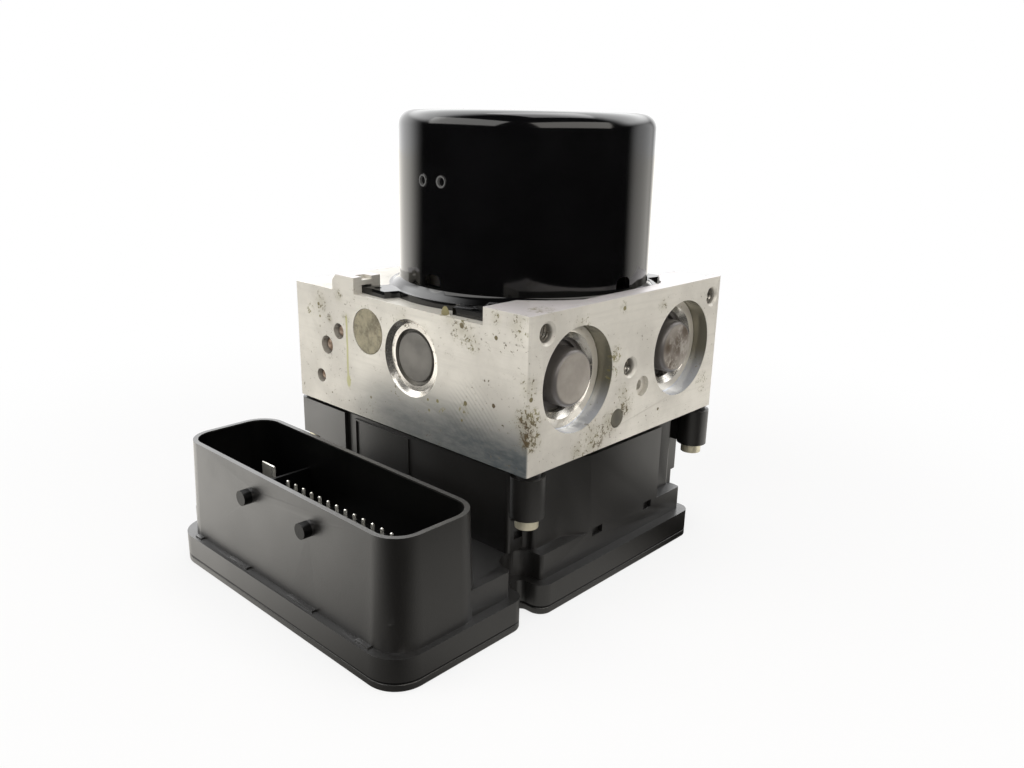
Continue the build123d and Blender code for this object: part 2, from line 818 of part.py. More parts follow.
for side in side_sign:
    seat = Plane(origin=(pump_x, motor_y, brush_z), x_dir=(1, 0, 0), z_dir=(0, side_sign[side], 0))
    with BuildPart() as brush:
        with BuildSketch(seat.offset(brush_start)):
            Rectangle(brush_width, brush_height)
        extrude(amount=brush_length)
    brush.part.label = f"brush_{side}"
    export_step(brush.part, f"parts/brush_{side}.step")
    with BuildPart() as brush_spring:
        spring_seat = brush_box_reach - brush_box_end
        add(spring(seat, brush_end, spring_seat, brush_spring_r, brush_wire_r, brush_spring_coils))
    brush_spring.part.label = f"brush_spring_{side}"
    export_step(brush_spring.part, f"parts/brush_spring_{side}.step")

# The rotor: shaft with its eccentric, core, windings and commutator
shaft_end = end_bearing_z + end_bearing_height - loose_gap
with BuildPart() as motor_shaft:
    for base, top, radius, shift in (
        (lower_bearing_z + rest_gap, journal_z, lower_shaft_r, 0),
        (lower_bearing_z + lower_bearing_height + loose_gap, journal_z, lower_shaft_r + shaft_shoulder, 0),
        (journal_z, journal_z + journal_height, journal_r, eccentricity),
        (journal_z + journal_height, end_bearing_z - shaft_shoulder, shaft_r, 0),
        (end_bearing_z - shaft_shoulder, shaft_end, end_bearing_bore_r, 0),
    ):
        with BuildSketch(motor_plane(base)):
            with Locations((shift, 0)):
                Circle(radius)
        extrude(amount=top - base)
motor_shaft.part.label = "motor_shaft"
export_step(motor_shaft.part, "parts/motor_shaft.step")

with BuildPart() as armature_core:
    with BuildSketch(motor_plane(core_z)):
        Circle(core_r)
        Circle(shaft_r + press_gap, mode=Mode.SUBTRACT)
        with PolarLocations((core_slot_r[0] + core_slot_r[1]) / 2, core_slots):
            Rectangle(core_slot_r[1] - core_slot_r[0], core_slot_width, mode=Mode.SUBTRACT)
        with PolarLocations(core_r, core_slots):
            Rectangle(2 * (core_r - core_slot_r[1]) + loose_gap, core_slot_mouth, mode=Mode.SUBTRACT)
    extrude(amount=core_length)
armature_core.part.label = "armature_core"
export_step(armature_core.part, "parts/armature_core.step")

with BuildPart() as armature_windings:
    for base in (core_z - winding_reach, core_z + core_length):
        add(ring(base, core_slot_r[1], winding_inner_r, winding_reach))
    with BuildSketch(motor_plane(core_z - winding_reach)):
        with PolarLocations((core_slot_r[0] + core_slot_r[1]) / 2, core_slots):
            Rectangle(
                core_slot_r[1] - core_slot_r[0] - 2 * slide_gap,
                core_slot_width - 2 * slide_gap,
            )
    extrude(amount=core_length + 2 * winding_reach)
armature_windings.part.label = "armature_windings"
export_step(armature_windings.part, "parts/armature_windings.step")

with BuildPart() as commutator:
    with BuildSketch(motor_plane(commutator_z)):
        Circle(commutator_r)
        Circle(shaft_r + press_gap, mode=Mode.SUBTRACT)
        with PolarLocations(commutator_r, commutator_slots):
            Rectangle(2 * commutator_slot[1], commutator_slot[0], mode=Mode.SUBTRACT)
    extrude(amount=commutator_height)
commutator.part.label = "commutator"
export_step(commutator.part, "parts/commutator.step")

# The needle bearing that turns the eccentric's run into the piston stroke
with BuildPart() as needle_rollers:
    with BuildSketch(motor_plane(pump_z - roller_length / 2)):
        with Locations((eccentricity, 0)):
            with PolarLocations(journal_r + roller_r + slide_gap / 2, roller_count):
                Circle(roller_r)
    extrude(amount=roller_length)
needle_rollers.part.label = "needle_rollers"
export_step(needle_rollers.part, "parts/needle_rollers.step")

with BuildPart() as eccentric_ring:
    with BuildSketch(motor_plane(pump_z - roller_length / 2)):
        with Locations((eccentricity, 0)):
            Circle(ring_outer_r)
            Circle(ring_inner_r + press_gap, mode=Mode.SUBTRACT)
    extrude(amount=roller_length)
eccentric_ring.part.label = "eccentric_ring"
export_step(eccentric_ring.part, "parts/eccentric_ring.step")

# Pump elements, one on each side of the eccentric
with BuildPart() as pump_sleeves:
    for side in side_sign:
        seat = pump_seat(side)
        add(
            turned(
                seat,
                (
                    (piston_r + slide_gap, sleeve_start),
                    (sleeve_r, sleeve_start),
                    (sleeve_r, sleeve_groove[0]),
                    (sleeve_groove[2], sleeve_groove[0]),
                    (sleeve_groove[2], sleeve_groove[1]),
                    (sleeve_r, sleeve_groove[1]),
                    (sleeve_r, sleeve_end),
                    (valve_seat_r, sleeve_end),
                    (valve_seat_r, sleeve_wall_start),
                    (piston_r + slide_gap, sleeve_wall_start),
                ),
            )
        )
        # Suction ports open into the groove
        with Locations(Plane(origin=seat.origin + seat.z_dir * suction_port_at + Vector(0, 0, sleeve_r))):
            Hole(suction_port_r, 2 * sleeve_r)
pump_sleeves.part.label = "pump_sleeves"
export_step(pump_sleeves.part, "parts/pump_sleeves.step")

with BuildPart() as pump_plugs:
    for side, reach in pump_reach.items():
        add(
            turned(
                pump_seat(side),
                (
                    (ball_r + loose_gap, sleeve_end),
                    (plug_r, sleeve_end),
                    (plug_r, reach - stake_lip[1]),
                    (plug_face_r, reach - stake_lip[1]),
                    (plug_face_r, reach - plug_recess),
                    (0, reach - plug_recess),
                    (0, sleeve_end + ball_pocket_depth),
                    (ball_r + loose_gap, sleeve_end + ball_pocket_depth),
                ),
            )
        )
pump_plugs.part.label = "pump_plugs"
export_step(pump_plugs.part, "parts/pump_plugs.step")

for side in side_sign:
    seat = pump_seat(side)
    ball_at = sleeve_end + sqrt(ball_r**2 - valve_seat_r**2) + rest_gap
    with BuildPart() as pump_piston:
        with BuildSketch(seat.offset(piston_foot)):
            Circle(piston_r)
        extrude(amount=piston_length)
    pump_piston.part.label = f"pump_piston_{side}"
    export_step(pump_piston.part, f"parts/pump_piston_{side}.step")
    with BuildPart() as pump_spring:
        add(spring(seat, piston_end, sleeve_wall_start, piston_spring_r, piston_wire_r, piston_spring_coils))
    pump_spring.part.label = f"pump_spring_{side}"
    export_step(pump_spring.part, f"parts/pump_spring_{side}.step")
    with BuildPart() as outlet_ball:
        with Locations(seat.offset(ball_at)):
            Sphere(ball_r)
    outlet_ball.part.label = f"outlet_ball_{side}"
    export_step(outlet_ball.part, f"parts/outlet_ball_{side}.step")
    with BuildPart() as ball_spring:
        add(
            spring(
                seat,
                ball_at + ball_r,
                sleeve_end + ball_pocket_depth,
                ball_spring_r,
                ball_wire_r,
                ball_spring_coils,
            )
        )
    ball_spring.part.label = f"ball_spring_{side}"
    export_step(ball_spring.part, f"parts/ball_spring_{side}.step")

# Accumulators: piston and spring behind a pressed cap, held by a ring
piston_back = -accumulator_bore_end + rest_gap
piston_front = piston_back + accumulator_piston_length
pocket_floor = piston_front - spring_pocket_depth
with BuildPart() as accumulator_caps:
    for side in side_sign:
        with BuildPart(mode=Mode.PRIVATE) as cap:
            add(
                turned(
                    accumulator_seat(side),
                    (
                        (0, -cap_depth),
                        (cap_r, -cap_depth),
                        (cap_r, -cap_flange[0]),
                        (accumulator_r - press_gap, -cap_flange[0]),
                        (accumulator_r - press_gap, -cap_flange[1]),
                        (cap_r - cap_wall, -cap_flange[1]),
                        (cap_r - cap_wall, -cap_depth - cap_wall),
                        (0, -cap_depth - cap_wall),
                    ),
                )
            )
            fillet(cap.edges().group_by(Axis.X)[-1], cap_edge_r)
        add(cap.part)
accumulator_caps.part.label = "accumulator_caps"
export_step(accumulator_caps.part, "parts/accumulator_caps.step")

with BuildPart() as retaining_rings:
    for side in side_sign:
        with BuildSketch(accumulator_seat(side).offset(-retaining_ring[1])):
            Circle(ring_groove_r - press_gap)
            Circle(snap_ring_inner_r, mode=Mode.SUBTRACT)
            with Locations((0, -accumulator_r)):
                Rectangle(ring_gap_width, 2 * (ring_groove_r - snap_ring_inner_r), mode=Mode.SUBTRACT)
        extrude(amount=retaining_ring[1] - retaining_ring[0])
retaining_rings.part.label = "retaining_rings"
export_step(retaining_rings.part, "parts/retaining_rings.step")

for side in side_sign:
    seat = accumulator_seat(side)
    with BuildPart() as accumulator_piston:
        add(
            turned(
                seat,
                (
                    (0, piston_back),
                    (accumulator_r - slide_gap, piston_back),
                    (accumulator_r - slide_gap, piston_front),
                    (spring_pocket_r, piston_front),
                    (spring_pocket_r, pocket_floor),
                    (0, pocket_floor),
                ),
            )
        )
    accumulator_piston.part.label = f"accumulator_piston_{side}"
    export_step(accumulator_piston.part, f"parts/accumulator_piston_{side}.step")
    with BuildPart() as accumulator_spring:
        add(
            spring(
                seat,
                pocket_floor,
                -cap_depth - cap_wall,
                accumulator_spring_r,
                accumulator_wire_r,
                accumulator_coils,
            )
        )
    accumulator_spring.part.label = f"accumulator_spring_{side}"
    export_step(accumulator_spring.part, f"parts/accumulator_spring_{side}.step")

# Plugs and balls pressed into the cross drillings
with BuildPart() as drill_plugs:
    for seat, radius, depth in (
        (front_face(*drill_plug_at), drill_plug_r, drill_plug_depth),
        (right_face(*side_plug), side_plug_r, side_plug_depth),
    ):
        with BuildSketch(seat):
            Circle(radius)
        extrude(amount=-depth)
        chamfer(edges(Select.LAST).filter_by(GeomType.CIRCLE).sort_by_distance(seat.origin)[0], plug_chamfer)
drill_plugs.part.label = "drill_plugs"
export_step(drill_plugs.part, "parts/drill_plugs.step")

with BuildPart() as sealing_balls:
    for x, height, radius in ball_plug_seats:
        with Locations(front_face(x, height).offset(-ball_plug_mouth_depth - radius)):
            Sphere(radius - press_gap)
sealing_balls.part.label = "sealing_balls"
export_step(sealing_balls.part, "parts/sealing_balls.step")

# Solenoid valves: a seat body in the block, a thin dome below it and a plunger inside
plunger_z = dome_end + dome_base + plunger_end_gap
core_end = plunger_z + plunger_length + plunger_lift + plunger_end_gap
collar_z = block_bottom - valve_collar
for name, side_y in (("inlet_valves", -1), ("outlet_valves", 1)):
    with BuildPart() as valves:
        for x in valve_x:
            add(
                turned(
                    Plane(origin=(x, side_y * valve_y, 0)),
                    (
                        (valve_bore_r, core_end),
                        (dome_r - dome_wall - press_gap, core_end),
                        (dome_r - dome_wall - press_gap, collar_z),
                        (valve_collar_r, collar_z),
                        (valve_collar_r, block_bottom),
                        (valve_stem_r, block_bottom),
                        (valve_stem_r, block_bottom + valve_stem),
                        (valve_bore_r, block_bottom + valve_stem),
                    ),
                )
            )
    valves.part.label = name
    export_step(valves.part, f"parts/{name}.step")

with BuildPart() as valve_domes:
    for x in valve_x:
        for side_y in (-1, 1):
            add(
                turned(
                    Plane(origin=(x, side_y * valve_y, 0)),
                    (
                        (0, dome_end),
                        (dome_r, dome_end),
                        (dome_r, collar_z),
                        (dome_r - dome_wall, collar_z),
                        (dome_r - dome_wall, dome_end + dome_base),
                        (0, dome_end + dome_base),
                    ),
                )
            )
valve_domes.part.label = "valve_domes"
export_step(valve_domes.part, "parts/valve_domes.step")

with BuildPart() as valve_coils:
    for x in valve_x:
        for side_y in (-1, 1):
            add(
                turned(
                    Plane(origin=(x, side_y * valve_y, partition[1])),
                    (
                        (dome_r + loose_gap, 0),
                        (coil_r, 0),
                        (coil_r, coil_flange),
                        (coil_core_r, coil_flange),
                        (coil_core_r, coil_height - coil_flange),
                        (coil_r, coil_height - coil_flange),
                        (coil_r, coil_height),
                        (dome_r + loose_gap, coil_height),
                    ),
                )
            )
    with BuildSketch(Plane.XY.offset(partition[1])):
        with Locations(*coil_pins_at):
            Rectangle(pin_width, pin_width)
    extrude(amount=pin_end - partition[1])
valve_coils.part.label = "valve_coils"
export_step(valve_coils.part, "parts/valve_coils.step")

for name, side_y in (("inlet", -1), ("outlet", 1)):
    for place, x in enumerate(valve_x, start=1):
        with BuildPart() as plunger:
            with BuildSketch(Plane(origin=(x, side_y * valve_y, plunger_z))):
                Circle(dome_r - dome_wall - plunger_gap)
            extrude(amount=plunger_length)
            with BuildSketch(Plane(origin=(x, side_y * valve_y, plunger_z))):
                Circle(plunger_pin_r)
            extrude(amount=plunger_pin_end - plunger_z)
        plunger.part.label = f"{name}_plunger_{place}"
        export_step(plunger.part, f"parts/{name}_plunger_{place}.step")

# The motor's plug passes down through the block to the circuit board
with BuildPart() as motor_plug:
    with BuildSketch(Plane(origin=(motor_plug_x, motor_y, deck_z))):
        Circle(motor_plug_r)
    extrude(amount=motor_plug_end - deck_z)
motor_plug.part.label = "motor_plug"
export_step(motor_plug.part, "parts/motor_plug.step")

with BuildPart() as motor_pins:
    with BuildSketch(Plane.XY.offset(motor_plug_end)):
        with Locations(*motor_pins_at):
            Rectangle(motor_pin_width, motor_pin_width)
    extrude(amount=pin_end - motor_plug_end)
motor_pins.part.label = "motor_pins"
export_step(motor_pins.part, "parts/motor_pins.step")

# The control unit's moulded housing
with BuildPart() as ecu_housing:
    extrude(base_outline(cover_thickness), amount=flange_top - cover_thickness)
    extrude(base_outline(flange_top, skirt_inset), amount=skirt_top - flange_top)
    extrude(body_outline(skirt_top), amount=body_top - skirt_top)
    # A flat runs flush with the block at the front left corner
    with BuildSketch(Plane.XY.offset(skirt_top)):
        with Locations((wall_flat[0], -block_half_y)):
            Rectangle(wall_flat[1] - wall_flat[0], body_wall, align=(Align.MIN, Align.MIN))
    extrude(amount=body_top - skirt_top)
    # The right wall bulges out to the block's face
    with BuildSketch(Plane.XY.offset(skirt_top)):
        with BuildLine():
            Polyline(
                (body_x - body_wall, bulge_y[0] - bulge_ramp),
                (body_x, bulge_y[0] - bulge_ramp),
                (bulge_x, bulge_y[0]),
                (bulge_x, bulge_y[1]),
                (body_x - body_wall, bulge_y[1]),
                close=True,
            )
        make_face()
    extrude(amount=body_top - skirt_top)
    # Screw bosses at the four corners, the front left one merged into the flat
    with BuildSketch(Plane.XY.offset(boss_bottom)):
        for side_x in (-1, 1):
            for side_y in (-1, 1):
                with Locations((side_x * boss_at[0], side_y * boss_at[1])):
                    Circle(boss_r)
                with Locations((side_x * (boss_at[0] - boss_web[0] / 2), side_y * boss_at[1])):
                    Rectangle(boss_web[0], boss_web[1])
        with Locations((-boss_at[0], -block_half_y)):
            Rectangle(2 * boss_at[0], boss_r, align=(Align.CENTER, Align.MAX), mode=Mode.SUBTRACT)
            Rectangle(boss_at[0] + wall_flat[0], 2 * boss_web[1], align=(Align.MIN, Align.MIN))
        with Locations((boss_at[0], -boss_at[1])):
            Circle(boss_r)
    extrude(amount=body_top - boss_bottom)
    # The connector shroud, drafted upward
    shroud_x = (shroud_left + shroud_right) / 2
    shroud_y = (shroud_front + shroud_rear) / 2
    with BuildSketch(Plane.XY.offset(flange_top)):
        with Locations((shroud_x, shroud_y)):
            RectangleRounded(shroud_right - shroud_left, shroud_rear - shroud_front, shroud_r)
    extrude(amount=shroud_top - flange_top, taper=shroud_draft)
    inner_step = shroud_wall + (socket_floor[1] - flange_top) * sin(radians(shroud_draft))
    with BuildSketch(Plane.XY.offset(socket_floor[1])):
        with Locations((shroud_x, shroud_y)):
            RectangleRounded(
                shroud_right - shroud_left - 2 * inner_step,
                shroud_rear - shroud_front - 2 * inner_step,
                shroud_r - inner_step,
            )
    extrude(amount=shroud_top - socket_floor[1], taper=shroud_draft, mode=Mode.SUBTRACT)
    with BuildSketch(Plane.XY.offset(partition[0])):
        with Locations((shroud_x, shroud_y)):
            RectangleRounded(
                shroud_right - shroud_left - 2 * cavity_inset,
                shroud_rear - shroud_front - 2 * cavity_inset,
                shroud_r - cavity_inset,
            )
    extrude(amount=socket_floor[0] - partition[0], mode=Mode.SUBTRACT)
    # Ribs part the signal pins from the power blades
    with BuildSketch(Plane.XY.offset(socket_floor[1])):
        for side_x in (-1, 1):
            with Locations((pin_row_x + side_x * rib_offset, shroud_y)):
                Rectangle(rib_thickness, shroud_rear - shroud_front - 2 * inner_step)
    extrude(amount=pin_tip - socket_floor[1])
    # Two pegs on the front wall and small pads at its foot
    for x in peg_x:
        peg_seat = Plane(origin=(x, shroud_front + shroud_wall, peg_z), x_dir=(1, 0, 0), z_dir=(0, -1, 0))
        with BuildSketch(peg_seat):
            Circle(peg_r)
        extrude(amount=peg_length)
    with BuildSketch(Plane.XY.offset(flange_top)):
        for x, width in foot_pads:
            with Locations((x, shroud_front + slide_gap)):
                Rectangle(width, foot_pad_width, align=(Align.CENTER, Align.MAX))
    extrude(amount=foot_pad_rise)
    # The circuit board's space below and the coils' space above the partition
    board_space = partition[0] - cover_thickness
    extrude(base_outline(cover_thickness, cavity_inset), amount=board_space, mode=Mode.SUBTRACT)
    extrude(body_outline(partition[1], body_wall), amount=body_top - partition[1], mode=Mode.SUBTRACT)
    extrude(pin_openings(partition[0], pin_gap), amount=socket_floor[1] - partition[0], mode=Mode.SUBTRACT)
    with BuildSketch(Plane.XY.offset(board_z + board_thickness)):
        with Locations(*board_posts):
            Circle(board_post_r)
    extrude(amount=partition[0] - board_z - board_thickness)
    # A raised frame on the front wall
    with BuildSketch(Plane(origin=(0, -body_y, 0), x_dir=(1, 0, 0), z_dir=(0, -1, 0))):
        with Locations(((panel[0] + panel[1]) / 2, (panel[2] + panel[3]) / 2)):
            Rectangle(panel[1] - panel[0], panel[3] - panel[2])
            Rectangle(
                panel[1] - panel[0] - 2 * panel_rise,
                panel[3] - panel[2] - 2 * panel_rise,
                mode=Mode.SUBTRACT,
            )
    extrude(amount=panel_rise)
    # Slots for the clips on the right wall and beside the corner screw
    for y, length in clip_slots:
        slot_plane = Plane(origin=(bulge_x, y, sum(clip_slot_z) / 2), x_dir=(0, 1, 0), z_dir=(1, 0, 0))
        with BuildSketch(slot_plane):
            Rectangle(length, clip_slot_z[1] - clip_slot_z[0])
        extrude(amount=-clip_slot_depth, mode=Mode.SUBTRACT)
    corner_plane = Plane(
        origin=(body_x - body_notch_front[0], corner_slot[0], (corner_slot[2] + corner_slot[3]) / 2),
        x_dir=(0, 1, 0),
        z_dir=(1, 0, 0),
    )
    with BuildSketch(corner_plane):
        Rectangle(corner_slot[1], corner_slot[3] - corner_slot[2])
    extrude(amount=-corner_slot_depth, mode=Mode.SUBTRACT)
    # Bores for the spacer sleeves
    for x in (-boss_at[0], boss_at[0]):
        for y in (-boss_at[1], boss_at[1]):
            with Locations(Plane(origin=(x, y, body_top))):
                Hole(limiter_r[0] + press_gap, body_top - boss_bottom)
ecu_housing.part.label = "ecu_housing"
export_step(ecu_housing.part, "parts/ecu_housing.step")

# Cover, gasket and circuit board
with BuildPart() as ecu_cover:
    extrude(base_outline(0), amount=cover_thickness)
    chamfer(ecu_cover.edges().group_by(Axis.Z)[0] + ecu_cover.edges().group_by(Axis.Z)[-1], cover_edge)
ecu_cover.part.label = "ecu_cover"
export_step(ecu_cover.part, "parts/ecu_cover.step")

with BuildPart() as ecu_gasket:
    extrude(body_outline(body_top, gasket_inset), amount=block_bottom - body_top)
    extrude(
        body_outline(body_top, gasket_inset + gasket_width),
        amount=block_bottom - body_top,
        mode=Mode.SUBTRACT,
    )
ecu_gasket.part.label = "ecu_gasket"
export_step(ecu_gasket.part, "parts/ecu_gasket.step")

with BuildPart() as circuit_board:
    extrude(base_outline(board_z, board_inset), amount=board_thickness)
    extrude(pin_openings(board_z, pin_gap), amount=board_thickness, mode=Mode.SUBTRACT)
circuit_board.part.label = "circuit_board"
export_step(circuit_board.part, "parts/circuit_board.step")

with BuildPart() as signal_pins:
    with BuildSketch(Plane.XY.offset(pin_end)):
        with Locations(*signal_pins_at):
            Rectangle(pin_width, pin_width)
    extrude(amount=pin_tip - pin_end)
    chamfer(signal_pins.edges().group_by(Axis.Z)[-1], pin_chamfer)
signal_pins.part.label = "signal_pins"
export_step(signal_pins.part, "parts/signal_pins.step")

with BuildPart() as power_blades:
    with BuildSketch(Plane.XY.offset(pin_end)):
        with Locations(*blades_at):
            Rectangle(blade_width, blade_thickness)
    extrude(amount=blade_tip - pin_end)
    chamfer(power_blades.edges().group_by(Axis.Z)[-1].filter_by(Axis.X), pin_chamfer)
power_blades.part.label = "power_blades"
export_step(power_blades.part, "parts/power_blades.step")

# Corner screws and their spacer sleeves
with BuildPart() as ecu_screws:
    for x in (-boss_at[0], boss_at[0]):
        for y in (-boss_at[1], boss_at[1]):
            head_seat = Plane(origin=(x, y, boss_bottom - screw_head_height))
            with BuildSketch(head_seat):
                Circle(screw_head_r)
            extrude(amount=screw_head_height)
            with BuildSketch(head_seat):
                Circle(screw_shank_r)
            extrude(amount=block_bottom + screw_reach - boss_bottom + screw_head_height)
            with BuildSketch(head_seat):
                RegularPolygon(screw_socket_r, 6)
            extrude(amount=screw_socket_depth, mode=Mode.SUBTRACT)
ecu_screws.part.label = "ecu_screws"
export_step(ecu_screws.part, "parts/ecu_screws.step")

with BuildPart() as screw_sleeves:
    with BuildSketch(Plane.XY.offset(boss_bottom)):
        with GridLocations(2 * boss_at[0], 2 * boss_at[1], 2, 2):
            Circle(limiter_r[0])
            Circle(limiter_r[1], mode=Mode.SUBTRACT)
    extrude(amount=block_bottom - boss_bottom)
screw_sleeves.part.label = "screw_sleeves"
export_step(screw_sleeves.part, "parts/screw_sleeves.step")
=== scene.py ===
import json
import math
import bmesh
import bpy
from mathutils import Matrix, Vector


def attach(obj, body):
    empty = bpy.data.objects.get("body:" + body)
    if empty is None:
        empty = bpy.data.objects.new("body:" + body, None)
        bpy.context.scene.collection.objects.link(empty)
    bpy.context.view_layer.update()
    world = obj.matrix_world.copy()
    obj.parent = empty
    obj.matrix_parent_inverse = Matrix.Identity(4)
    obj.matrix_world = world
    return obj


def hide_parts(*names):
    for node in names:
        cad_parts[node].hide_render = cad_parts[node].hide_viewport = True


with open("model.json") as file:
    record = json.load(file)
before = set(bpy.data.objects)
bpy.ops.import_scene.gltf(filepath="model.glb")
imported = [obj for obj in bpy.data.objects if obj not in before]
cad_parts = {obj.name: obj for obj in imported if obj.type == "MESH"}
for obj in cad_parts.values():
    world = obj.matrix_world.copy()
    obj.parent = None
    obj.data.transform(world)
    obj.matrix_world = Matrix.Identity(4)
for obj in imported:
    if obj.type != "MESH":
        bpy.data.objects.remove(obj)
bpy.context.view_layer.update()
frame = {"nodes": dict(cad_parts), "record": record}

cadNodes = frame["nodes"]
print("frame loaded:", len(cadNodes), "nodes")

# Width over which one painted field goes over into the next
border = 0.0002
# Values of a noise between which a surface goes from its first tone or roughness to its second
metalSpan = (0.35, 0.70)
plasticSpan = (0.30, 0.75)
roughnessSpan = (0.20, 0.80)
# Weights for a distance that leave out one direction
alongX = (0, 1, 1)
alongY = (1, 0, 1)


# Small helpers for materials
def startMaterial(name):
    material = bpy.data.materials.new(name)
    material.use_nodes = True
    tree = material.node_tree
    shader = tree.nodes["Principled BSDF"]
    coords = tree.nodes.new("ShaderNodeTexCoord").outputs["Object"]
    return material, tree, shader, coords


def stretched(tree, coords, scale):
    mapping = tree.nodes.new("ShaderNodeMapping")
    mapping.inputs["Scale"].default_value = scale
    tree.links.new(coords, mapping.inputs["Vector"])
    return mapping.outputs["Vector"]


def noiseOf(tree, coords, scale, detail=4, roughness=0.6):
    texture = tree.nodes.new("ShaderNodeTexNoise")
    texture.inputs["Scale"].default_value = scale
    texture.inputs["Detail"].default_value = detail
    texture.inputs["Roughness"].default_value = roughness
    tree.links.new(coords, texture.inputs["Vector"])
    return texture.outputs["Fac"]


def ranged(tree, value, low, high, outLow=0.0, outHigh=1.0):
    node = tree.nodes.new("ShaderNodeMapRange")
    node.interpolation_type = "SMOOTHSTEP"
    for socket, number in zip(node.inputs[1:5], (low, high, outLow, outHigh)):
        socket.default_value = number
    tree.links.new(value, node.inputs["Value"])
    return node.outputs["Result"]


def arithmetic(tree, operation, first, *others):
    for other in others:
        node = tree.nodes.new("ShaderNodeMath")
        node.operation = operation
        for socket, value in zip(node.inputs, (first, other)):
            if isinstance(value, (int, float)):
                socket.default_value = value
            else:
                tree.links.new(value, socket)
        first = node.outputs["Value"]
    return first


def times(tree, *values):
    return arithmetic(tree, "MULTIPLY", *values)


def plus(tree, *values):
    return arithmetic(tree, "ADD", *values)


def minus(tree, first, second):
    return arithmetic(tree, "SUBTRACT", first, second)


def largest(tree, *values):
    return arithmetic(tree, "MAXIMUM", *values)


def awayFrom(tree, value, middle):
    return arithmetic(tree, "ABSOLUTE", minus(tree, value, middle), 0)


def blended(tree, factor, first, second):
    node = tree.nodes.new("ShaderNodeMix")
    node.data_type = "RGBA"
    tree.links.new(factor, node.inputs["Factor"])
    for socket, value in zip((node.inputs[6], node.inputs[7]), (first, second)):
        if isinstance(value, tuple):
            socket.default_value = (*value, 1)
        else:
            tree.links.new(value, socket)
    return node.outputs[2]


def bumped(tree, shader, height, distance):
    node = tree.nodes.new("ShaderNodeBump")
    node.inputs["Distance"].default_value = distance
    node.inputs["Strength"].default_value = 1.0
    tree.links.new(height, node.inputs["Height"])
    tree.links.new(node.outputs["Normal"], shader.inputs["Normal"])


def split(tree, coords):
    node = tree.nodes.new("ShaderNodeSeparateXYZ")
    tree.links.new(coords, node.inputs[0])
    return node.outputs


def distanceTo(tree, coords, point, weights=(1, 1, 1)):
    node = tree.nodes.new("ShaderNodeVectorMath")
    node.operation = "DISTANCE"
    tree.links.new(stretched(tree, coords, weights), node.inputs[0])
    node.inputs[1].default_value = tuple(a * b for a, b in zip(point, weights))
    return node.outputs["Value"]


def nearSpots(tree, coords, spots):
    return largest(
        tree, *[ranged(tree, distanceTo(tree, coords, spot[:3]), spot[3], 0.0) for spot in spots]
    )


def insideBores(tree, coords, bores):
    return largest(tree, *[
        ranged(tree, distanceTo(tree, coords, point, weights), radius + border, radius)
        for point, weights, radius in bores
    ])


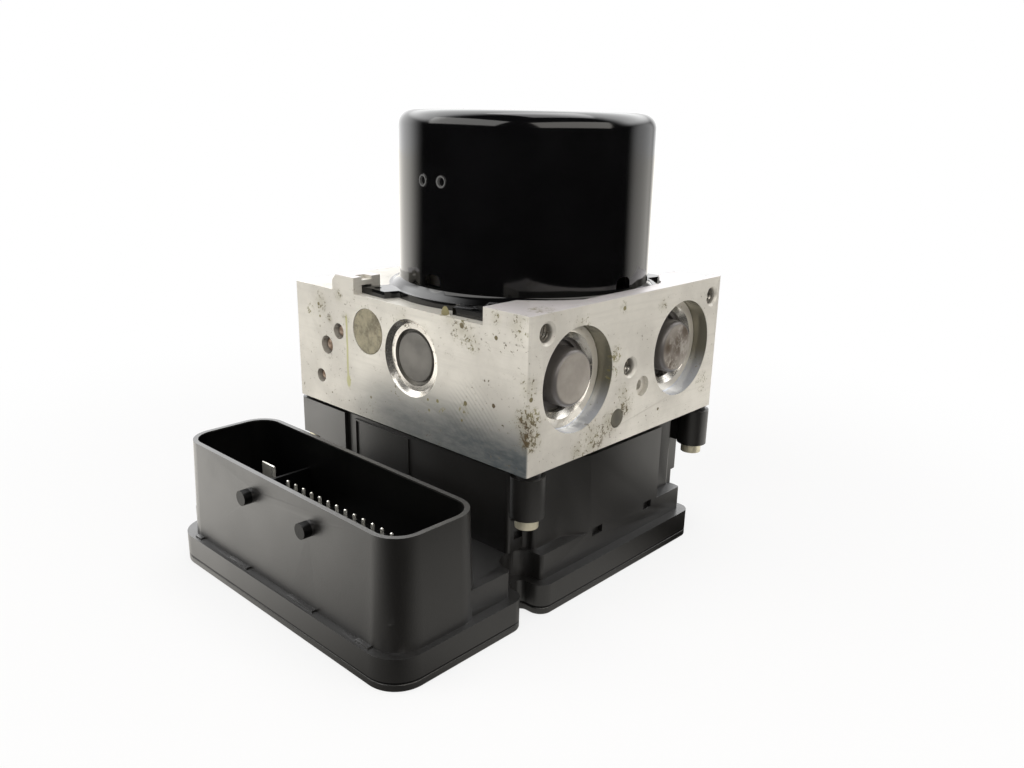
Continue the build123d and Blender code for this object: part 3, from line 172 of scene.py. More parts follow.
# The milled block, with its machined mouths, corrosion and one dried drip
blockLook = {
    "light": (0.655, 0.630, 0.570),
    "dull": (0.50, 0.478, 0.432),
    "top": (0.60, 0.57, 0.57),
    "topBetween": (0.0831, 0.08325),
    "metal": 0.28,
    "roughness": (0.34, 0.52),
    "cloudScale": 38,
    # heights of the block's underside and places of its front and right faces, each with a border
    "bottom": 0.041,
    "frontBetween": (-0.0440, -0.0444),
    "rightBetween": (0.0499, 0.0498),
    # the dull blue field on the lower right of the front: heights over the bottom and places from left
    # to right between which it grows, and how strong it gets
    "shade": (0.062, 0.076, 0.085),
    "shadeFields": [((0.0235, 0.0075), (-0.032, 0.002), 0.82), ((0.0200, 0.0040), (0.0, 0.045), 0.18)],
    "shadeWobble": 0.006,
    "shadeGrain": {"stretch": (1.0, 1.0, 3.0), "noise": (240, 4, 0.7), "span": (0.2, 0.75, 0.82, 1.0)},
    # arcs of the milling cutter in that field
    "arcCentre": (-0.02, 0, 0),
    "arcsPerMetre": 5700,
    "arcField": (0.030, -0.0445, 0.0525),
    "arcFieldRadii": (0.012, 0.005),
    "arcSpan": (-0.2, 0.9, 0.0, 0.17),
    # fine level lines left by the cutter
    "lineStretch": (0.06, 0.06, 1.0),
    "lineNoise": (900, 3),
    "lineSpan": (0.45, 0.75, 0.0, 0.35),
    "lineDepth": 0.00003,
    # point on the axis, weights that drop the axis, radius: two accumulator mouths, one pump mouth
    "accumulatorMouths": [((0, -0.02465, 0.0634), alongX, 0.0148), ((0, 0.02465, 0.0634), alongX, 0.0148)],
    "pumpMouths": [((0.0053, 0, 0.0639), alongY, 0.0111)],
    "mouthDepthBetween": (0.018, 0.020),
    "bore": (0.56, 0.54, 0.50),
    "boreMetal": 0.6,
    "boreSmoother": 0.22,
    # each accumulator mouth has a pale flat ring, and a wall with painted shade above and a painted silvery
    # highlight below
    "ring": (0.78, 0.74, 0.66),
    "ringFrom": 0.0119,
    "ringMetalLess": 0.35,
    "wall": (0.26, 0.245, 0.19),
    "wallLow": (0.74, 0.77, 0.82),
    "wallFrom": 0.0143,
    "wallTurns": (0.0610, 0.0510),
    # painted shade darkens the insides of the threaded holes
    "threads": [
        ((0, -0.0379, 0.0780), alongX, 0.0031), ((0, 0.0398, 0.0774), alongX, 0.0031),
        ((0, -0.0015, 0.0624), alongX, 0.0031),
    ],
    "threadDepths": [(0.0496, 0.0480), (0.030, 0.032)],
    "hole": (0.10, 0.09, 0.08),
    "holeStrength": 0.8,
    # corrosion: small specks everywhere, more of them in the stains, grown together in the crusts
    "brown": (0.075, 0.050, 0.022),
    "olive": (0.21, 0.19, 0.085),
    "speckNoise": (800, 6, 0.75),
    "patchNoise": (75, 3),
    "speckSpan": (0.615, 0.65),
    "patchSpan": (0.42, 0.54),
    "stainSpeckSpan": (0.545, 0.60),
    "stainSpan": (0.05, 0.50),
    "crustGain": 0.085,
    "pitWobble": 0.7,
    "pitSpan": (0.75, 0.95),
    "toneSpan": (0.35, 0.65),
    "haloStrength": 0.38,
    # x, y, z, radius of each stain, crust and single brown pit
    "stains": [
        (-0.0375, -0.0445, 0.0735, 0.005), (-0.0425, -0.0445, 0.0705, 0.003),
        (-0.0275, -0.0445, 0.0770, 0.003), (-0.0245, -0.0445, 0.0700, 0.003),
        (-0.0325, -0.0445, 0.0690, 0.002), (-0.0130, -0.0445, 0.0655, 0.003),
        (0.0020, -0.0445, 0.0745, 0.004), (0.0105, -0.0445, 0.0735, 0.003), (0.0262, -0.0445, 0.0755, 0.006),
        (0.0300, -0.0445, 0.0730, 0.004), (0.0215, -0.0445, 0.0790, 0.004), (0.0385, -0.0445, 0.0815, 0.003),
        (0.0465, -0.0445, 0.0800, 0.005), (0.0492, -0.0435, 0.0560, 0.006), (0.0495, -0.0438, 0.0650, 0.004),
        (0.0500, -0.0425, 0.0510, 0.005), (0.0180, -0.0445, 0.0520, 0.0025), (0.0270, -0.0445, 0.0540, 0.003),
        (0.0500, -0.0180, 0.0450, 0.008), (0.0500, -0.0100, 0.0480, 0.006), (0.0500, -0.0235, 0.0425, 0.005),
        (0.0500, -0.0030, 0.0520, 0.006), (0.0500, -0.0045, 0.0560, 0.004), (0.0500, -0.0095, 0.0620, 0.004),
        (0.0500, -0.0085, 0.0680, 0.004), (0.0500, -0.0060, 0.0805, 0.003), (0.0500, -0.0240, 0.0780, 0.005),
        (0.0500, 0.0130, 0.0780, 0.003), (0.0500, 0.0380, 0.0500, 0.005), (0.0460, -0.0360, 0.0832, 0.006),
    ],
    "crusts": [
        (0.0500, -0.0425, 0.0565, 0.0060), (0.0500, -0.0430, 0.0505, 0.0060),
        (0.0500, -0.0035, 0.0508, 0.0040), (0.0500, -0.0135, 0.0435, 0.0060),
        (0.0500, -0.0094, 0.0665, 0.0045), (0.0485, -0.0445, 0.0560, 0.0040),
    ],
    "pits": [
        (-0.0380, -0.0445, 0.0728, 0.0011), (-0.0130, -0.0445, 0.0482, 0.0008),
        (0.0125, -0.0445, 0.0535, 0.0008), (0.0165, -0.0445, 0.0540, 0.0011),
        (0.0130, -0.0445, 0.0505, 0.0008), (0.0275, -0.0445, 0.0560, 0.0013),
        (0.0380, -0.0445, 0.0578, 0.0012), (0.0385, -0.0445, 0.0760, 0.0012),
        (0.0262, -0.0445, 0.0508, 0.0008), (0.0500, -0.0060, 0.0800, 0.0013),
        (0.0500, -0.0435, 0.0620, 0.0013), (0.0500, 0.0140, 0.0465, 0.0010),
        (0.0500, 0.0175, 0.0700, 0.0009), (-0.0375, -0.0445, 0.0690, 0.0009),
        (0.0182, -0.0431, 0.0800, 0.0042), (0.0205, -0.0440, 0.0805, 0.0016),
        (0.0260, -0.0445, 0.0770, 0.0016),
    ],
    # one run of brake fluid has dried below the post and ends in a drop
    "drip": (0.40, 0.39, 0.15),
    "dripStrength": 0.75,
    "dripAt": -0.0239,
    "dripSway": 0.002,
    "dripHalfWidths": (0.0007, 0.0002),
    "dripTop": (0.0725, 0.0700),
    "dripEnd": (0.0495, 0.0515),
    "drop": (-0.0238, -0.0445, 0.0510),
    "dropWeights": (1, 1, 0.5),
    "dropRadii": (0.0013, 0.0007),
}


def frontShade(tree, coords, x, z, cloud):
    look = blockLook
    height = plus(tree, minus(tree, z, look["bottom"]), times(tree, cloud, look["shadeWobble"]))
    fields = [
        times(tree, ranged(tree, height, *heights), ranged(tree, x, *across, 0.0, strength))
        for heights, across, strength in look["shadeFields"]
    ]
    grain = look["shadeGrain"]
    grains = noiseOf(tree, stretched(tree, coords, grain["stretch"]), *grain["noise"])
    return times(tree, plus(tree, *fields), ranged(tree, grains, *grain["span"]))


def cutterArcs(tree, coords):
    look = blockLook
    turns = times(tree, distanceTo(tree, coords, look["arcCentre"]), look["arcsPerMetre"])
    field = ranged(tree, distanceTo(tree, coords, look["arcField"]), *look["arcFieldRadii"])
    return times(tree, field, ranged(tree, arithmetic(tree, "SINE", turns, 0), *look["arcSpan"]))


def mouthMasks(tree, coords, x):
    look = blockLook
    inDepth = times(tree, ranged(tree, x, *look["rightBetween"]), ranged(tree, x, *look["mouthDepthBetween"]))
    mouths = times(tree, insideBores(tree, coords, look["accumulatorMouths"]), inDepth)
    mouths = largest(tree, mouths, insideBores(tree, coords, look["pumpMouths"]))
    rings, walls = [], []
    for point, weights, radius in look["accumulatorMouths"]:
        away = distanceTo(tree, coords, point, weights)
        within = times(tree, ranged(tree, away, radius + border, radius), inDepth)
        rings.append(times(tree, ranged(tree, away, look["ringFrom"], look["ringFrom"] + border), within))
        # the wall of each mouth, which gets painted shade above and a painted highlight below
        walls.append(times(tree, ranged(tree, away, look["wallFrom"], look["wallFrom"] + border / 2), within))
    return mouths, largest(tree, *rings), largest(tree, *walls)


def corrosion(tree, coords):
    look = blockLook
    speck = noiseOf(tree, coords, *look["speckNoise"])
    patch = noiseOf(tree, coords, *look["patchNoise"])
    stained = nearSpots(tree, coords, look["stains"])
    crusted = times(tree, nearSpots(tree, coords, look["crusts"]), look["crustGain"])
    scattered = times(tree, ranged(tree, speck, *look["speckSpan"]), ranged(tree, patch, *look["patchSpan"]))
    gathered = times(
        tree, ranged(tree, plus(tree, speck, crusted), *look["stainSpeckSpan"]),
        ranged(tree, stained, *look["stainSpan"]),
    )
    wobbly = plus(tree, nearSpots(tree, coords, look["pits"]), times(tree, speck, look["pitWobble"]))
    dirt = largest(tree, scattered, gathered, ranged(tree, wobbly, *look["pitSpan"]))
    halo = times(tree, stained, ranged(tree, patch, *look["toneSpan"], 0.0, look["haloStrength"]))
    tint = blended(tree, ranged(tree, patch, *look["toneSpan"]), look["olive"], look["brown"])
    return dirt, halo, tint


def driedDrip(tree, coords, x, z, cloud):
    look = blockLook
    sway = times(tree, minus(tree, cloud, 0.5), look["dripSway"])
    across = awayFrom(tree, plus(tree, x, sway), look["dripAt"])
    line = times(
        tree, ranged(tree, across, *look["dripHalfWidths"]),
        ranged(tree, z, *look["dripTop"]), ranged(tree, z, *look["dripEnd"]),
    )
    away = distanceTo(tree, coords, look["drop"], look["dropWeights"])
    return times(tree, largest(tree, line, ranged(tree, away, *look["dropRadii"])), look["dripStrength"])


def makeMilledAlloy():
    look = blockLook
    material, tree, shader, coords = startMaterial("milledAlloy")
    x, y, z = split(tree, coords)
    cloud = noiseOf(tree, coords, look["cloudScale"], 5)
    onFront = ranged(tree, y, *look["frontBetween"])
    base = blended(tree, ranged(tree, cloud, *metalSpan), look["light"], look["dull"])
    base = blended(tree, ranged(tree, z, *look["topBetween"]), base, look["top"])
    lines = noiseOf(tree, stretched(tree, coords, look["lineStretch"]), *look["lineNoise"])
    base = blended(tree, ranged(tree, lines, *look["lineSpan"]), base, look["dull"])
    base = blended(tree, times(tree, frontShade(tree, coords, x, z, cloud), onFront), base, look["shade"])
    base = blended(tree, times(tree, cutterArcs(tree, coords), onFront), base, look["shade"])
    mouths, rings, walls = mouthMasks(tree, coords, x)
    base = blended(tree, mouths, base, look["bore"])
    base = blended(tree, rings, base, look["ring"])
    # painted shade on the upper mouth walls, painted highlight on the lower
    wallShadeAndHighlight = blended(tree, ranged(tree, z, *look["wallTurns"]), look["wall"], look["wallLow"])
    base = blended(tree, walls, base, wallShadeAndHighlight)
    # painted shade inside the threaded holes
    inHole = times(tree, *[ranged(tree, x, *depths) for depths in look["threadDepths"]])
    holes = times(tree, insideBores(tree, coords, look["threads"]), inHole, look["holeStrength"])
    base = blended(tree, holes, base, look["hole"])
    dirt, halo, tint = corrosion(tree, coords)
    base = blended(tree, halo, base, look["olive"])
    base = blended(tree, dirt, base, tint)
    drip = times(tree, driedDrip(tree, coords, x, z, cloud), onFront)
    base = blended(tree, drip, base, look["drip"])
    tree.links.new(base, shader.inputs["Base Color"])
    rough = ranged(tree, cloud, *roughnessSpan, *look["roughness"])
    rough = minus(tree, rough, times(tree, mouths, look["boreSmoother"]))
    tree.links.new(rough, shader.inputs["Roughness"])
    metal = plus(tree, times(tree, mouths, look["boreMetal"]), look["metal"])
    metal = minus(tree, metal, times(tree, rings, look["ringMetalLess"]))
    tree.links.new(times(tree, metal, minus(tree, 1.0, dirt)), shader.inputs["Metallic"])
    milled = times(tree, lines, minus(tree, 1.0, mouths))
    bumped(tree, shader, minus(tree, milled, dirt), look["lineDepth"])
    return material


# Metals and plastics of the other pieces
metalLook = {
    "cloudDetail": 5,
    "stainNoise": (160, 5, 0.7),
    "grainTimes": 12,
    "grainDepth": 0.00002,
    "dusk": (0.02, 0.02, 0.02),
}
plasticLook = {"cloudNoise": (45, 4), "grainScale": 2600, "grainDepth": 0.00003}
capLook = {
    # y and z of the two accumulator axes, radius of a cap's flat face and reach of the painted shade beyond
    # it
    "axes": [(-0.02465, 0.0634), (0.02465, 0.0634)],
    "faceRadius": 0.0070,
    "faceBorder": 0.0003,
    "reach": (0.016, 0.015),
    "sideTone": (0.15, 0.14, 0.135),
    # brown marks on the rear cap
    "marks": [
        (0.0485, 0.0260, 0.0640, 0.0085), (0.0485, 0.0220, 0.0580, 0.0070),
        (0.0480, 0.0290, 0.0680, 0.0070), (0.0480, 0.0200, 0.0640, 0.0050),
    ],
}


# painted shade on the side and rounded edge of each accumulator cap
def capSideShade(tree, coords, base):
    look = capLook
    radius = look["faceRadius"]
    for y, z in look["axes"]:
        away = distanceTo(tree, coords, (0, y, z), alongX)
        beside = ranged(tree, away, radius - look["faceBorder"], radius + look["faceBorder"])
        side = times(tree, beside, ranged(tree, away, *look["reach"]))
        base = blended(tree, side, base, look["sideTone"])
    return base


def makeMetal(name, light, dark, roughness, scale=120, metal=1.0, stains=(), duskAbove=0, caps=False):
    look = metalLook
    material, tree, shader, coords = startMaterial(name)
    cloud = noiseOf(tree, coords, scale, look["cloudDetail"])
    base = blended(tree, ranged(tree, cloud, *metalSpan), light, dark)
    for stain in stains:
        stained = ranged(tree, noiseOf(tree, coords, *look["stainNoise"]), *stain["span"])
        if "spots" in stain:
            stained = times(tree, stained, nearSpots(tree, coords, stain["spots"]))
        base = blended(tree, stained, base, stain["tone"])
    if caps:
        base = capSideShade(tree, coords, base)
    if duskAbove:
        z = split(tree, coords)[2]
        base = blended(tree, ranged(tree, z, duskAbove, duskAbove + border), base, look["dusk"])
    tree.links.new(base, shader.inputs["Base Color"])
    tree.links.new(ranged(tree, cloud, *roughnessSpan, *roughness), shader.inputs["Roughness"])
    shader.inputs["Metallic"].default_value = metal
    bumped(tree, shader, noiseOf(tree, coords, scale * look["grainTimes"], 2), look["grainDepth"])
    return material


def makePlastic(name, light, dark, roughness):
    look = plasticLook
    material, tree, shader, coords = startMaterial(name)
    cloud = noiseOf(tree, coords, *look["cloudNoise"])
    base = blended(tree, ranged(tree, cloud, *plasticSpan), light, dark)
    tree.links.new(base, shader.inputs["Base Color"])
    tree.links.new(ranged(tree, cloud, *roughnessSpan, *roughness), shader.inputs["Roughness"])
    bumped(tree, shader, noiseOf(tree, coords, look["grainScale"], 2), look["grainDepth"])
    return material


# The control unit's plastic, black on the pegs and in the seam, with painted shade in the socket
housingLook = {
    "light": (0.0046, 0.0041, 0.0036),
    "dark": (0.0036, 0.0033, 0.0030),
    "black": (0.0012, 0.0012, 0.0012),
    "roughness": (0.34, 0.42),
    "specular": (0.9, 0.15),
    # the pegs stand out in front of this face and above this height
    "pegFront": (-0.0890, -0.0893),
    "pegHeight": (0.0260, 0.0265),
    # middle and half size of the socket's inside without its corners, left to right and front to back
    "socketMiddle": (0.0020, -0.07405),
    "socketHalf": (0.0400, 0.0062),
    "socketCorner": 0.0078,
    "socketFloor": (0.0100, 0.0105),
    "socketRim": (0.0377, 0.0374),
    # height and half width of the seam between housing and cover plate
    "seamHeight": 0.0024,
    "seamHalf": 0.0002,
}


def socketShade(tree, x, y, z):
    look = housingLook
    squares = []
    for value, middle, half in zip((x, y), look["socketMiddle"], look["socketHalf"]):
        beyond = largest(tree, minus(tree, awayFrom(tree, value, middle), half), 0)
        squares.append(times(tree, beyond, beyond))
    away = arithmetic(tree, "SQRT", plus(tree, *squares), 0)
    corner = look["socketCorner"]
    return times(
        tree, ranged(tree, away, corner + border / 2, corner - border / 2),
        ranged(tree, z, *look["socketFloor"]), ranged(tree, z, *look["socketRim"]),
    )


def makeHousingPlastic():
    look = housingLook
    material, tree, shader, coords = startMaterial("housingPlastic")
    cloud = noiseOf(tree, coords, *plasticLook["cloudNoise"])
    x, y, z = split(tree, coords)
    base = blended(tree, ranged(tree, cloud, *plasticSpan), look["light"], look["dark"])
    pegs = times(tree, ranged(tree, y, *look["pegFront"]), ranged(tree, z, *look["pegHeight"]))
    fromSeam = awayFrom(tree, z, look["seamHeight"])
    seam = ranged(tree, fromSeam, look["seamHalf"] * 2, look["seamHalf"])
    # painted shade in the socket, black on the pegs and in the seam
    dusk = largest(tree, pegs, socketShade(tree, x, y, z), seam)
    tree.links.new(blended(tree, dusk, base, look["black"]), shader.inputs["Base Color"])
    tree.links.new(ranged(tree, cloud, *roughnessSpan, *look["roughness"]), shader.inputs["Roughness"])
    tree.links.new(ranged(tree, dusk, 0.0, 1.0, *look["specular"]), shader.inputs["Specular IOR Level"])
    bumped(tree, shader, noiseOf(tree, coords, plasticLook["grainScale"], 2), plasticLook["grainDepth"])
    return material


# The motor's gloss paint, with a painted highlight round the two front dimples
paintLook = {
    "light": (0.0030, 0.0030, 0.0034),
    "dark": (0.0018, 0.0018, 0.0020),
    "roughness": (0.07, 0.13),
    "rim": (0.12, 0.12, 0.12),
    "rimRoughness": 0.35,
    # points where a dimple's axis meets the wall, inner and outer radius of the painted highlight round it
    "dimples": [(0.00165, -0.0360, 0.1122), (0.00895, -0.0360, 0.1122)],
    "rimInner": 0.00125,
    "rimOuter": 0.0019,
    "grainScale": 700,
    "grainDepth": 0.000003,
}


def makeMotorPaint():
    look = paintLook
    material, tree, shader, coords = startMaterial("motorPaint")
    cloud = noiseOf(tree, coords, *plasticLook["cloudNoise"])
    base = blended(tree, ranged(tree, cloud, *plasticSpan), look["dark"], look["light"])
    inner, outer = look["rimInner"], look["rimOuter"]
    rimHighlights = []
    for point in look["dimples"]:
        away = distanceTo(tree, coords, point, alongY)
        rimHighlights.append(times(tree, ranged(tree, away, inner - border, inner), ranged(tree, away, outer, inner)))
    # painted highlight on the dimple rims
    rim = largest(tree, *rimHighlights)
    tree.links.new(blended(tree, rim, base, look["rim"]), shader.inputs["Base Color"])
    rough = ranged(tree, cloud, *roughnessSpan, *look["roughness"])
    rough = plus(tree, rough, times(tree, rim, look["rimRoughness"]))
    tree.links.new(rough, shader.inputs["Roughness"])
    bumped(tree, shader, noiseOf(tree, coords, look["grainScale"], 2), look["grainDepth"])
    return material


# Marks on two of the metals: values of the stain noise between which they grow, their tone and places
capMarks = {"span": (0.38, 0.52), "tone": (0.075, 0.050, 0.030), "spots": capLook["marks"]}
discMarks = {"span": (0.46, 0.66), "tone": (0.13, 0.11, 0.075)}
flushPlugMarks = {
    "span": (0.10, 0.20), "tone": (0.075, 0.070, 0.055), "spots": [(0.05, -0.0066, 0.0484, 0.009)],
}
# For each material slot: name, first and second tone, first and second roughness, and what differs
metalRows = {
    "tinned": (("tinned", (0.84, 0.83, 0.78), (0.62, 0.61, 0.56), (0.18, 0.32)), {"metal": 0.7}),
    "zinc_steel": (
        ("zincSteel", (0.66, 0.62, 0.48), (0.50, 0.46, 0.34), (0.28, 0.42)),
        {"metal": 0.6, "duskAbove": 0.0395},
    ),
    "cap_steel": (
        ("capSteel", (0.385, 0.355, 0.32), (0.30, 0.275, 0.245), (0.30, 0.44)),
        {"metal": 0.45, "stains": [capMarks], "caps": True},
    ),
    "dark_plug": (("darkPlug", (0.165, 0.158, 0.145), (0.125, 0.12, 0.11), (0.35, 0.5)), {"metal": 0.5}),
    "plug_alloy": (
        ("plugAlloy", (0.30, 0.27, 0.185), (0.19, 0.175, 0.12), (0.4, 0.55)),
        {"scale": 320, "metal": 0.4, "stains": [discMarks, flushPlugMarks]},
    ),
    "ball_steel": (
        ("ballSteel", (0.34, 0.27, 0.22), (0.17, 0.11, 0.07), (0.35, 0.5)), {"scale": 500, "metal": 0.7},
    ),
    "bright_steel": (("brightSteel", (0.70, 0.70, 0.70), (0.60, 0.60, 0.60), (0.15, 0.25)), {}),
    "spring_steel": (("springSteel", (0.36, 0.36, 0.37), (0.28, 0.28, 0.29), (0.3, 0.4)), {}),
    "piston_alloy": (("pistonAlloy", (0.55, 0.56, 0.58), (0.46, 0.47, 0.49), (0.3, 0.4)), {}),
    "magnet_grey": (("magnetGrey", (0.10, 0.10, 0.11), (0.07, 0.07, 0.08), (0.5, 0.65)), {"metal": 0.3}),
    "core_steel": (("coreSteel", (0.30, 0.30, 0.31), (0.22, 0.22, 0.23), (0.4, 0.55)), {}),
    "copper": (("copper", (0.72, 0.32, 0.16), (0.55, 0.24, 0.12), (0.25, 0.4)), {}),
}
plasticRows = {
    "dark_rubber": ("sealRubber", (0.010, 0.010, 0.010), (0.016, 0.016, 0.016), (0.7, 0.85)),
    "board_green": ("boardGreen", (0.02, 0.12, 0.05), (0.015, 0.09, 0.04), (0.35, 0.5)),
    "carbon": ("brushCarbon", (0.03, 0.03, 0.03), (0.05, 0.05, 0.05), (0.5, 0.6)),
    "cream_plastic": ("creamPlastic", (0.62, 0.57, 0.46), (0.54, 0.50, 0.40), (0.4, 0.5)),
    "coil_black": ("coilPlastic", (0.03, 0.03, 0.032), (0.045, 0.045, 0.048), (0.4, 0.5)),
}
materials = {
    "aluminium": makeMilledAlloy(),
    "black_can": makeMotorPaint(),
    "housing_plastic": makeHousingPlastic(),
}
for slotName, (row, extras) in metalRows.items():
    materials[slotName] = makeMetal(*row, **extras)
for slotName, row in plasticRows.items():
    materials[slotName] = makePlastic(*row)
slotOfNode = {part["node"]: part["material_slot"] for part in frame["record"]["subparts"]}
bodies = frame["record"]["behaviour"]["bodies"]
bodyOfNode = {node: body for body, nodes in bodies.items() for node in nodes}
for nodeName, node in cadNodes.items():
    node.data.materials.clear()
    node.data.materials.append(materials[slotOfNode[nodeName]])
print("materials made:", len(materials))


# Pieces that stand for CAD nodes, with softened edges: width of the edge, or 0 for none
softEdges = {
    "valve_block": 0.0003,
    "ecu_housing": 0.0003,
    "ecu_cover": 0.0002,
    "accumulator_caps": 0,
    "pump_plugs": 0.0003,
    "drill_plugs": 0,
    "sealing_balls": 0,
    "ecu_screws": 0.0003,
    "screw_sleeves": 0.0001,
    "power_blades": 0.00022,
    "signal_pins": 0.00018,
}
copyLook = {
    "mergeWithin": 0.000002,
    "flatAngle": math.radians(0.4),
    "sharpAngle": math.radians(28),
    "edgeSegments": 2,
}


def finishPiece(bm, name, material, body, sharpAngle):
    for face in bm.faces:
        face.smooth = True
    mesh = bpy.data.meshes.new(name)
    bm.to_mesh(mesh)
    bm.free()
    piece = bpy.data.objects.new(name, mesh)
    bpy.context.scene.collection.objects.link(piece)
    mesh.materials.append(material)
    mesh.set_sharp_from_angle(angle=sharpAngle)
    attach(piece, body)
    return piece


def softCopy(nodeName, edgeWidth):
    look = copyLook
    bm = bmesh.new()
    bm.from_mesh(cadNodes[nodeName].data)
    bmesh.ops.remove_doubles(bm, verts=bm.verts, dist=look["mergeWithin"])
    bmesh.ops.dissolve_limit(bm, angle_limit=look["flatAngle"], verts=bm.verts, edges=bm.edges)
    slotName = slotOfNode[nodeName]
    words = nodeName.title().replace("_", "")
    pieceName = words[0].lower() + words[1:]
    piece = finishPiece(bm, pieceName, materials[slotName], bodyOfNode[nodeName], look["sharpAngle"])
    if edgeWidth:
        bevel = piece.modifiers.new("softEdges", "BEVEL")
        bevel.width = edgeWidth
        bevel.segments = look["edgeSegments"]
        bevel.limit_method = "ANGLE"
        bevel.angle_limit = look["sharpAngle"]
        bevel.harden_normals = True
    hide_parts(nodeName)
    return piece


for nodeName, edgeWidth in softEdges.items():
    softCopy(nodeName, edgeWidth)
print("soft copies made:", len(softEdges))


# The motor's barrel is shaded as a true round
motorLook = {
    "axis": (0.0053, 0.0019, 0),
    "wallRadius": 0.0381,
    "radiusSlack": 0.00006,
    # a face belongs to the barrel where it stands upright and looks away from the axis
    "levelLimit": 0.02,
    "uprightLimit": 0.9,
    "outwardLimit": 0.99,
}


def makeMotorCan():
    look = motorLook
    mesh = softCopy("motor_can", 0).data
    axis = Vector(look["axis"])
    normals = [Vector(corner.vector) for corner in mesh.corner_normals]
    for face in mesh.polygons:
        flat = Vector((face.normal.x, face.normal.y, 0))
        if abs(face.normal.z) > look["levelLimit"] or flat.length < look["uprightLimit"]:
            continue
        for loop in face.loop_indices:
            out = mesh.vertices[mesh.loops[loop].vertex_index].co - axis
            out.z = 0
            onWall = abs(out.length - look["wallRadius"]) < look["radiusSlack"]
            if onWall and flat.dot(out) > look["outwardLimit"] * out.length * flat.length:
                normals[loop] = out.normalized()
    mesh.normals_split_custom_set(normals)


makeMotorCan()
print("motor can made")


# Threads in the three bracket holes of the right face
threadLook = {
    # y, z and depth of each hole
    "holes": [(-0.0379, 0.0780, 0.0120), (0.0398, 0.0774, 0.0130), (-0.0015, 0.0624, 0.0140)],
    "face": 0.050,
    "mouth": 0.0009,
    "runOut": 0.0012,
    "endGap": 0.0004,
    "pitch": 0.0010,
    "halfWidth": 0.42,
    "rootRadius": 0.00252,
    "crestRadius": 0.00222,
    "stepsPerTurn": 28,
    "sharpAngle": math.radians(35),
}
threadMetal = makeMetal(
    "threadAlloy", (0.60, 0.58, 0.54), (0.38, 0.35, 0.30), (0.18, 0.30), scale=400, metal=0.85,
)


def makeThread(index, y, z, depth):
    look = threadLook
    bm = bmesh.new()
    start = look["face"] - depth + look["endGap"]
    half = look["pitch"] * look["halfWidth"]
    root, crest = look["rootRadius"], look["crestRadius"]
    corners = [(start, root), (start + half, crest), (start + 2 * half, root)]
    verts = [bm.verts.new((x, y + radius, z)) for x, radius in corners]
    edges = [bm.edges.new(pair) for pair in zip(verts, verts[1:] + verts[:1])]
    turns = int((depth - look["mouth"] - look["runOut"]) / look["pitch"])
    steps = turns * look["stepsPerTurn"]
    bmesh.ops.spin(
        bm, geom=verts + edges, cent=(0, y, z), axis=(1, 0, 0), angle=2 * math.pi * turns, steps=steps,
        dvec=(look["pitch"] / look["stepsPerTurn"], 0, 0), use_merge=False,
    )
    piece = finishPiece(bm, "thread" + str(index), threadMetal, "module", look["sharpAngle"])


for index, hole in enumerate(threadLook["holes"], 1):
    makeThread(index, *hole)
print("threads made:", len(threadLook["holes"]))


# Floor, lights, world and camera
studio = {
    "floorSize": 6.0,
    "floorShade": 0.80,
    # how far from the object the floor turns plain white, and how white it is near it
    "whiteBetween": (0.10, 0.30),
    "whiteNear": 0.80,
    "whiteMiddle": (0.0, -0.02, 0.0),
    # x, y, inner and outer radius, strength: where the floor is bright for reflections
    "patches": [
        (-0.150, -0.150, 0.04, 0.24, 2.5), (0.110, 0.130, 0.06, 0.10, 1.2),
        (0.080, -0.035, 0.03, 0.075, 0.50),
    ],
    # direction, from and to cosine, strength: the pale walls far behind the object, seen in reflections
    "walls": [((-0.866, 0.500, 0.0), 0.46, 0.83, 1.75), ((0.220, 0.975, 0.0), 0.88, 0.985, 1.1)],
    "reflectionTint": (1.0, 0.97, 0.91),
    "worldDiffuse": 0.28,
    "worldGlossy": 0.008,
    # the pale ceiling seen in reflections: strength, heights of its edge, side where it is and its edge
    "ceiling": 3.8,
    "ceilingBetween": (0.15, 0.50),
    "ceilingTowards": (-0.68, 0.73, 0.0),
    "ceilingSide": (-0.1, 0.3),
    "lampTarget": (0.0, -0.02, 0.06),
}
lamps = {
    "keyLamp": {"at": (-0.35, -1.10, 0.75), "size": (1.8, 0.8), "power": 12.8, "tint": (1.0, 0.985, 0.955)},
    "sideLamp": {"at": (1.10, -0.10, 0.60), "size": (1.6, 0.7), "power": 9.0, "tint": (1.0, 0.96, 0.90)},
    "topLamp": {"at": (0.05, 0.20, 1.20), "size": (0.8, 0.8), "power": 6.0, "tint": (1.0, 0.985, 0.99)},
    "lowLamp": {
        "at": (-0.80, -0.95, 0.07), "size": (0.34, 0.34), "power": 2.0, "tint": (1.0, 0.97, 0.92),
        "inReflections": False,
    },
}
photoView = {
    "at": (0.18766, -0.19980, 0.12937),
    "right": (0.72599, 0.68743, 0.01940),
    "up": (-0.21712, 0.20235, 0.95494),
    "back": (0.65253, -0.69749, 0.29616),
    "lens": 30.888,
    "sensorWidth": 36,
    "shift": (0.0056, 0.0047),
    "clipStart": 0.01,
}


def towardness(tree, coords, direction):
    unit = tree.nodes.new("ShaderNodeVectorMath")
    unit.operation = "NORMALIZE"
    tree.links.new(coords, unit.inputs[0])
    dot = tree.nodes.new("ShaderNodeVectorMath")
    dot.operation = "DOT_PRODUCT"
    tree.links.new(unit.outputs["Vector"], dot.inputs[0])
    dot.inputs[1].default_value = direction
    return dot.outputs["Value"]


def wallGlow(tree, coords):
    return largest(tree, studio["worldGlossy"], *[
        ranged(tree, towardness(tree, coords, direction), low, high, 0.0, strength)
        for direction, low, high, strength in studio["walls"]
    ])


def rayKinds(tree):
    path = tree.nodes.new("ShaderNodeLightPath").outputs
    return path["Is Camera Ray"], largest(tree, path["Is Glossy Ray"], path["Is Transmission Ray"])


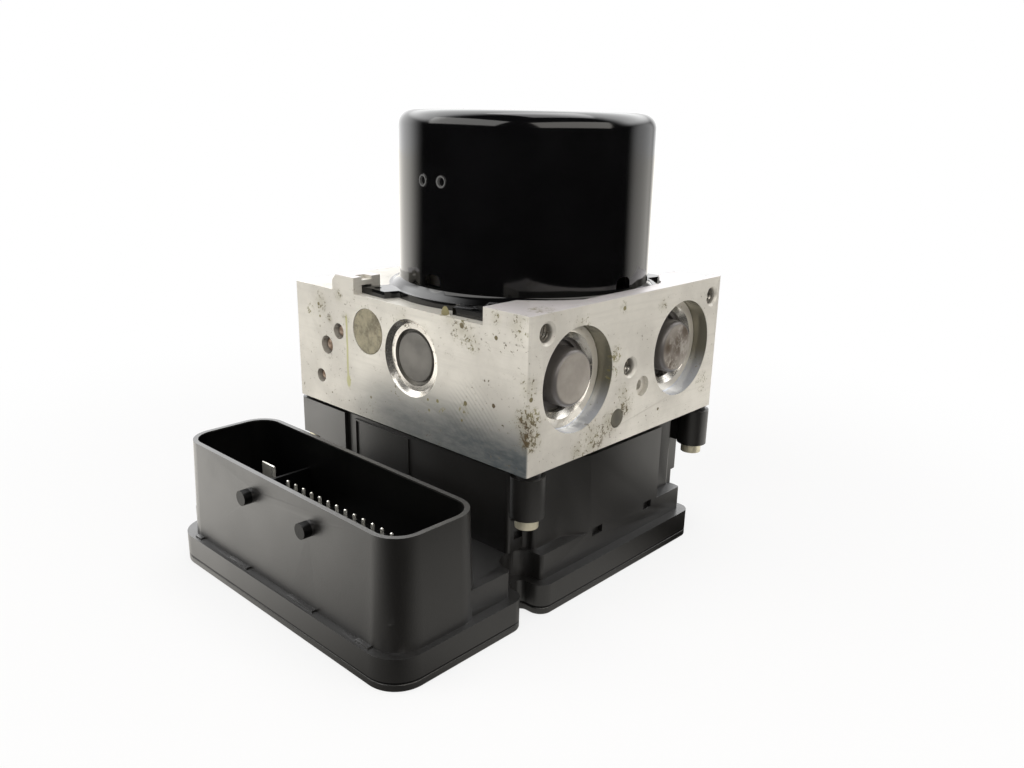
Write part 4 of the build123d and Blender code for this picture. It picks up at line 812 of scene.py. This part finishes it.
def makeFloor():
    bm = bmesh.new()
    bmesh.ops.create_grid(bm, x_segments=1, y_segments=1, size=studio["floorSize"] / 2)
    mesh = bpy.data.meshes.new("floor")
    bm.to_mesh(mesh)
    bm.free()
    floor = bpy.data.objects.new("floor", mesh)
    bpy.context.scene.collection.objects.link(floor)
    material = bpy.data.materials.new("floorPale")
    material.use_nodes = True
    tree = material.node_tree
    tree.nodes.clear()
    coords = tree.nodes.new("ShaderNodeTexCoord").outputs["Object"]
    diffuse = tree.nodes.new("ShaderNodeBsdfDiffuse")
    diffuse.inputs["Color"].default_value = (studio["floorShade"],) * 3 + (1,)
    glow = tree.nodes.new("ShaderNodeEmission")
    mix = tree.nodes.new("ShaderNodeMixShader")
    camera, glossy = rayKinds(tree)
    # the camera sees white, weaker near the object so that its shadow stays
    away = distanceTo(tree, coords, studio["whiteMiddle"])
    white = ranged(tree, away, *studio["whiteBetween"], studio["whiteNear"], 1.0)
    tree.links.new(largest(tree, times(tree, camera, white), glossy), mix.inputs["Fac"])
    # reflections see the patches and walls
    patches = [
        ranged(tree, distanceTo(tree, coords, (x, y, 0.0)), outer, inner, 0.0, strength)
        for x, y, inner, outer, strength in studio["patches"]
    ]
    bright = times(tree, glossy, largest(tree, wallGlow(tree, coords), *patches))
    tree.links.new(blended(tree, glossy, (1, 1, 1), studio["reflectionTint"]), glow.inputs["Color"])
    seen = times(tree, largest(tree, camera, glossy), largest(tree, camera, bright))
    tree.links.new(seen, glow.inputs["Strength"])
    tree.links.new(diffuse.outputs[0], mix.inputs[1])
    tree.links.new(glow.outputs[0], mix.inputs[2])
    output = tree.nodes.new("ShaderNodeOutputMaterial")
    tree.links.new(mix.outputs[0], output.inputs["Surface"])
    mesh.materials.append(material)


def makeLamp(name, look):
    lamp = bpy.data.lights.new(name, "AREA")
    lamp.shape = "RECTANGLE"
    lamp.size, lamp.size_y = look["size"]
    lamp.energy = look["power"]
    lamp.color = look["tint"]
    holder = bpy.data.objects.new(name, lamp)
    bpy.context.scene.collection.objects.link(holder)
    holder.location = look["at"]
    holder.visible_glossy = look.get("inReflections", True)
    towards = Vector(studio["lampTarget"]) - Vector(look["at"])
    holder.rotation_euler = towards.to_track_quat("-Z", "Y").to_euler()


def makeWorld():
    world = bpy.data.worlds.new("studioWorld")
    bpy.context.scene.world = world
    world.use_nodes = True
    tree = world.node_tree
    background = tree.nodes["Background"]
    camera, glossy = rayKinds(tree)
    # reflections find the side behind the object white, the viewer's side dark and the ceiling pale
    direction = tree.nodes.new("ShaderNodeTexCoord").outputs["Generated"]
    up = ranged(tree, split(tree, direction)[2], *studio["ceilingBetween"], 0.0, studio["ceiling"])
    side = ranged(tree, towardness(tree, direction, studio["ceilingTowards"]), *studio["ceilingSide"])
    reflected = times(tree, glossy, largest(tree, wallGlow(tree, direction), times(tree, up, side)))
    plain = minus(tree, 1.0, largest(tree, glossy, camera))
    strength = plus(tree, reflected, times(tree, plain, studio["worldDiffuse"]), camera)
    tree.links.new(strength, background.inputs["Strength"])
    background.inputs["Color"].default_value = (1, 1, 1, 1)


def makeCamera():
    look = photoView
    camera = bpy.data.cameras.new("photoCamera")
    camera.lens = look["lens"]
    camera.sensor_width = look["sensorWidth"]
    camera.sensor_fit = "HORIZONTAL"
    camera.shift_x, camera.shift_y = look["shift"]
    camera.clip_start = look["clipStart"]
    holder = bpy.data.objects.new("photoCamera", camera)
    bpy.context.scene.collection.objects.link(holder)
    turn = Matrix((look["right"], look["up"], look["back"])).transposed()
    holder.matrix_world = Matrix.Translation(look["at"]) @ turn.to_4x4()
    bpy.context.scene.camera = holder


makeFloor()
for lampName, lampLook in lamps.items():
    makeLamp(lampName, lampLook)
makeWorld()
makeCamera()
bpy.context.scene.view_settings.view_transform = "Standard"
print("studio ready")
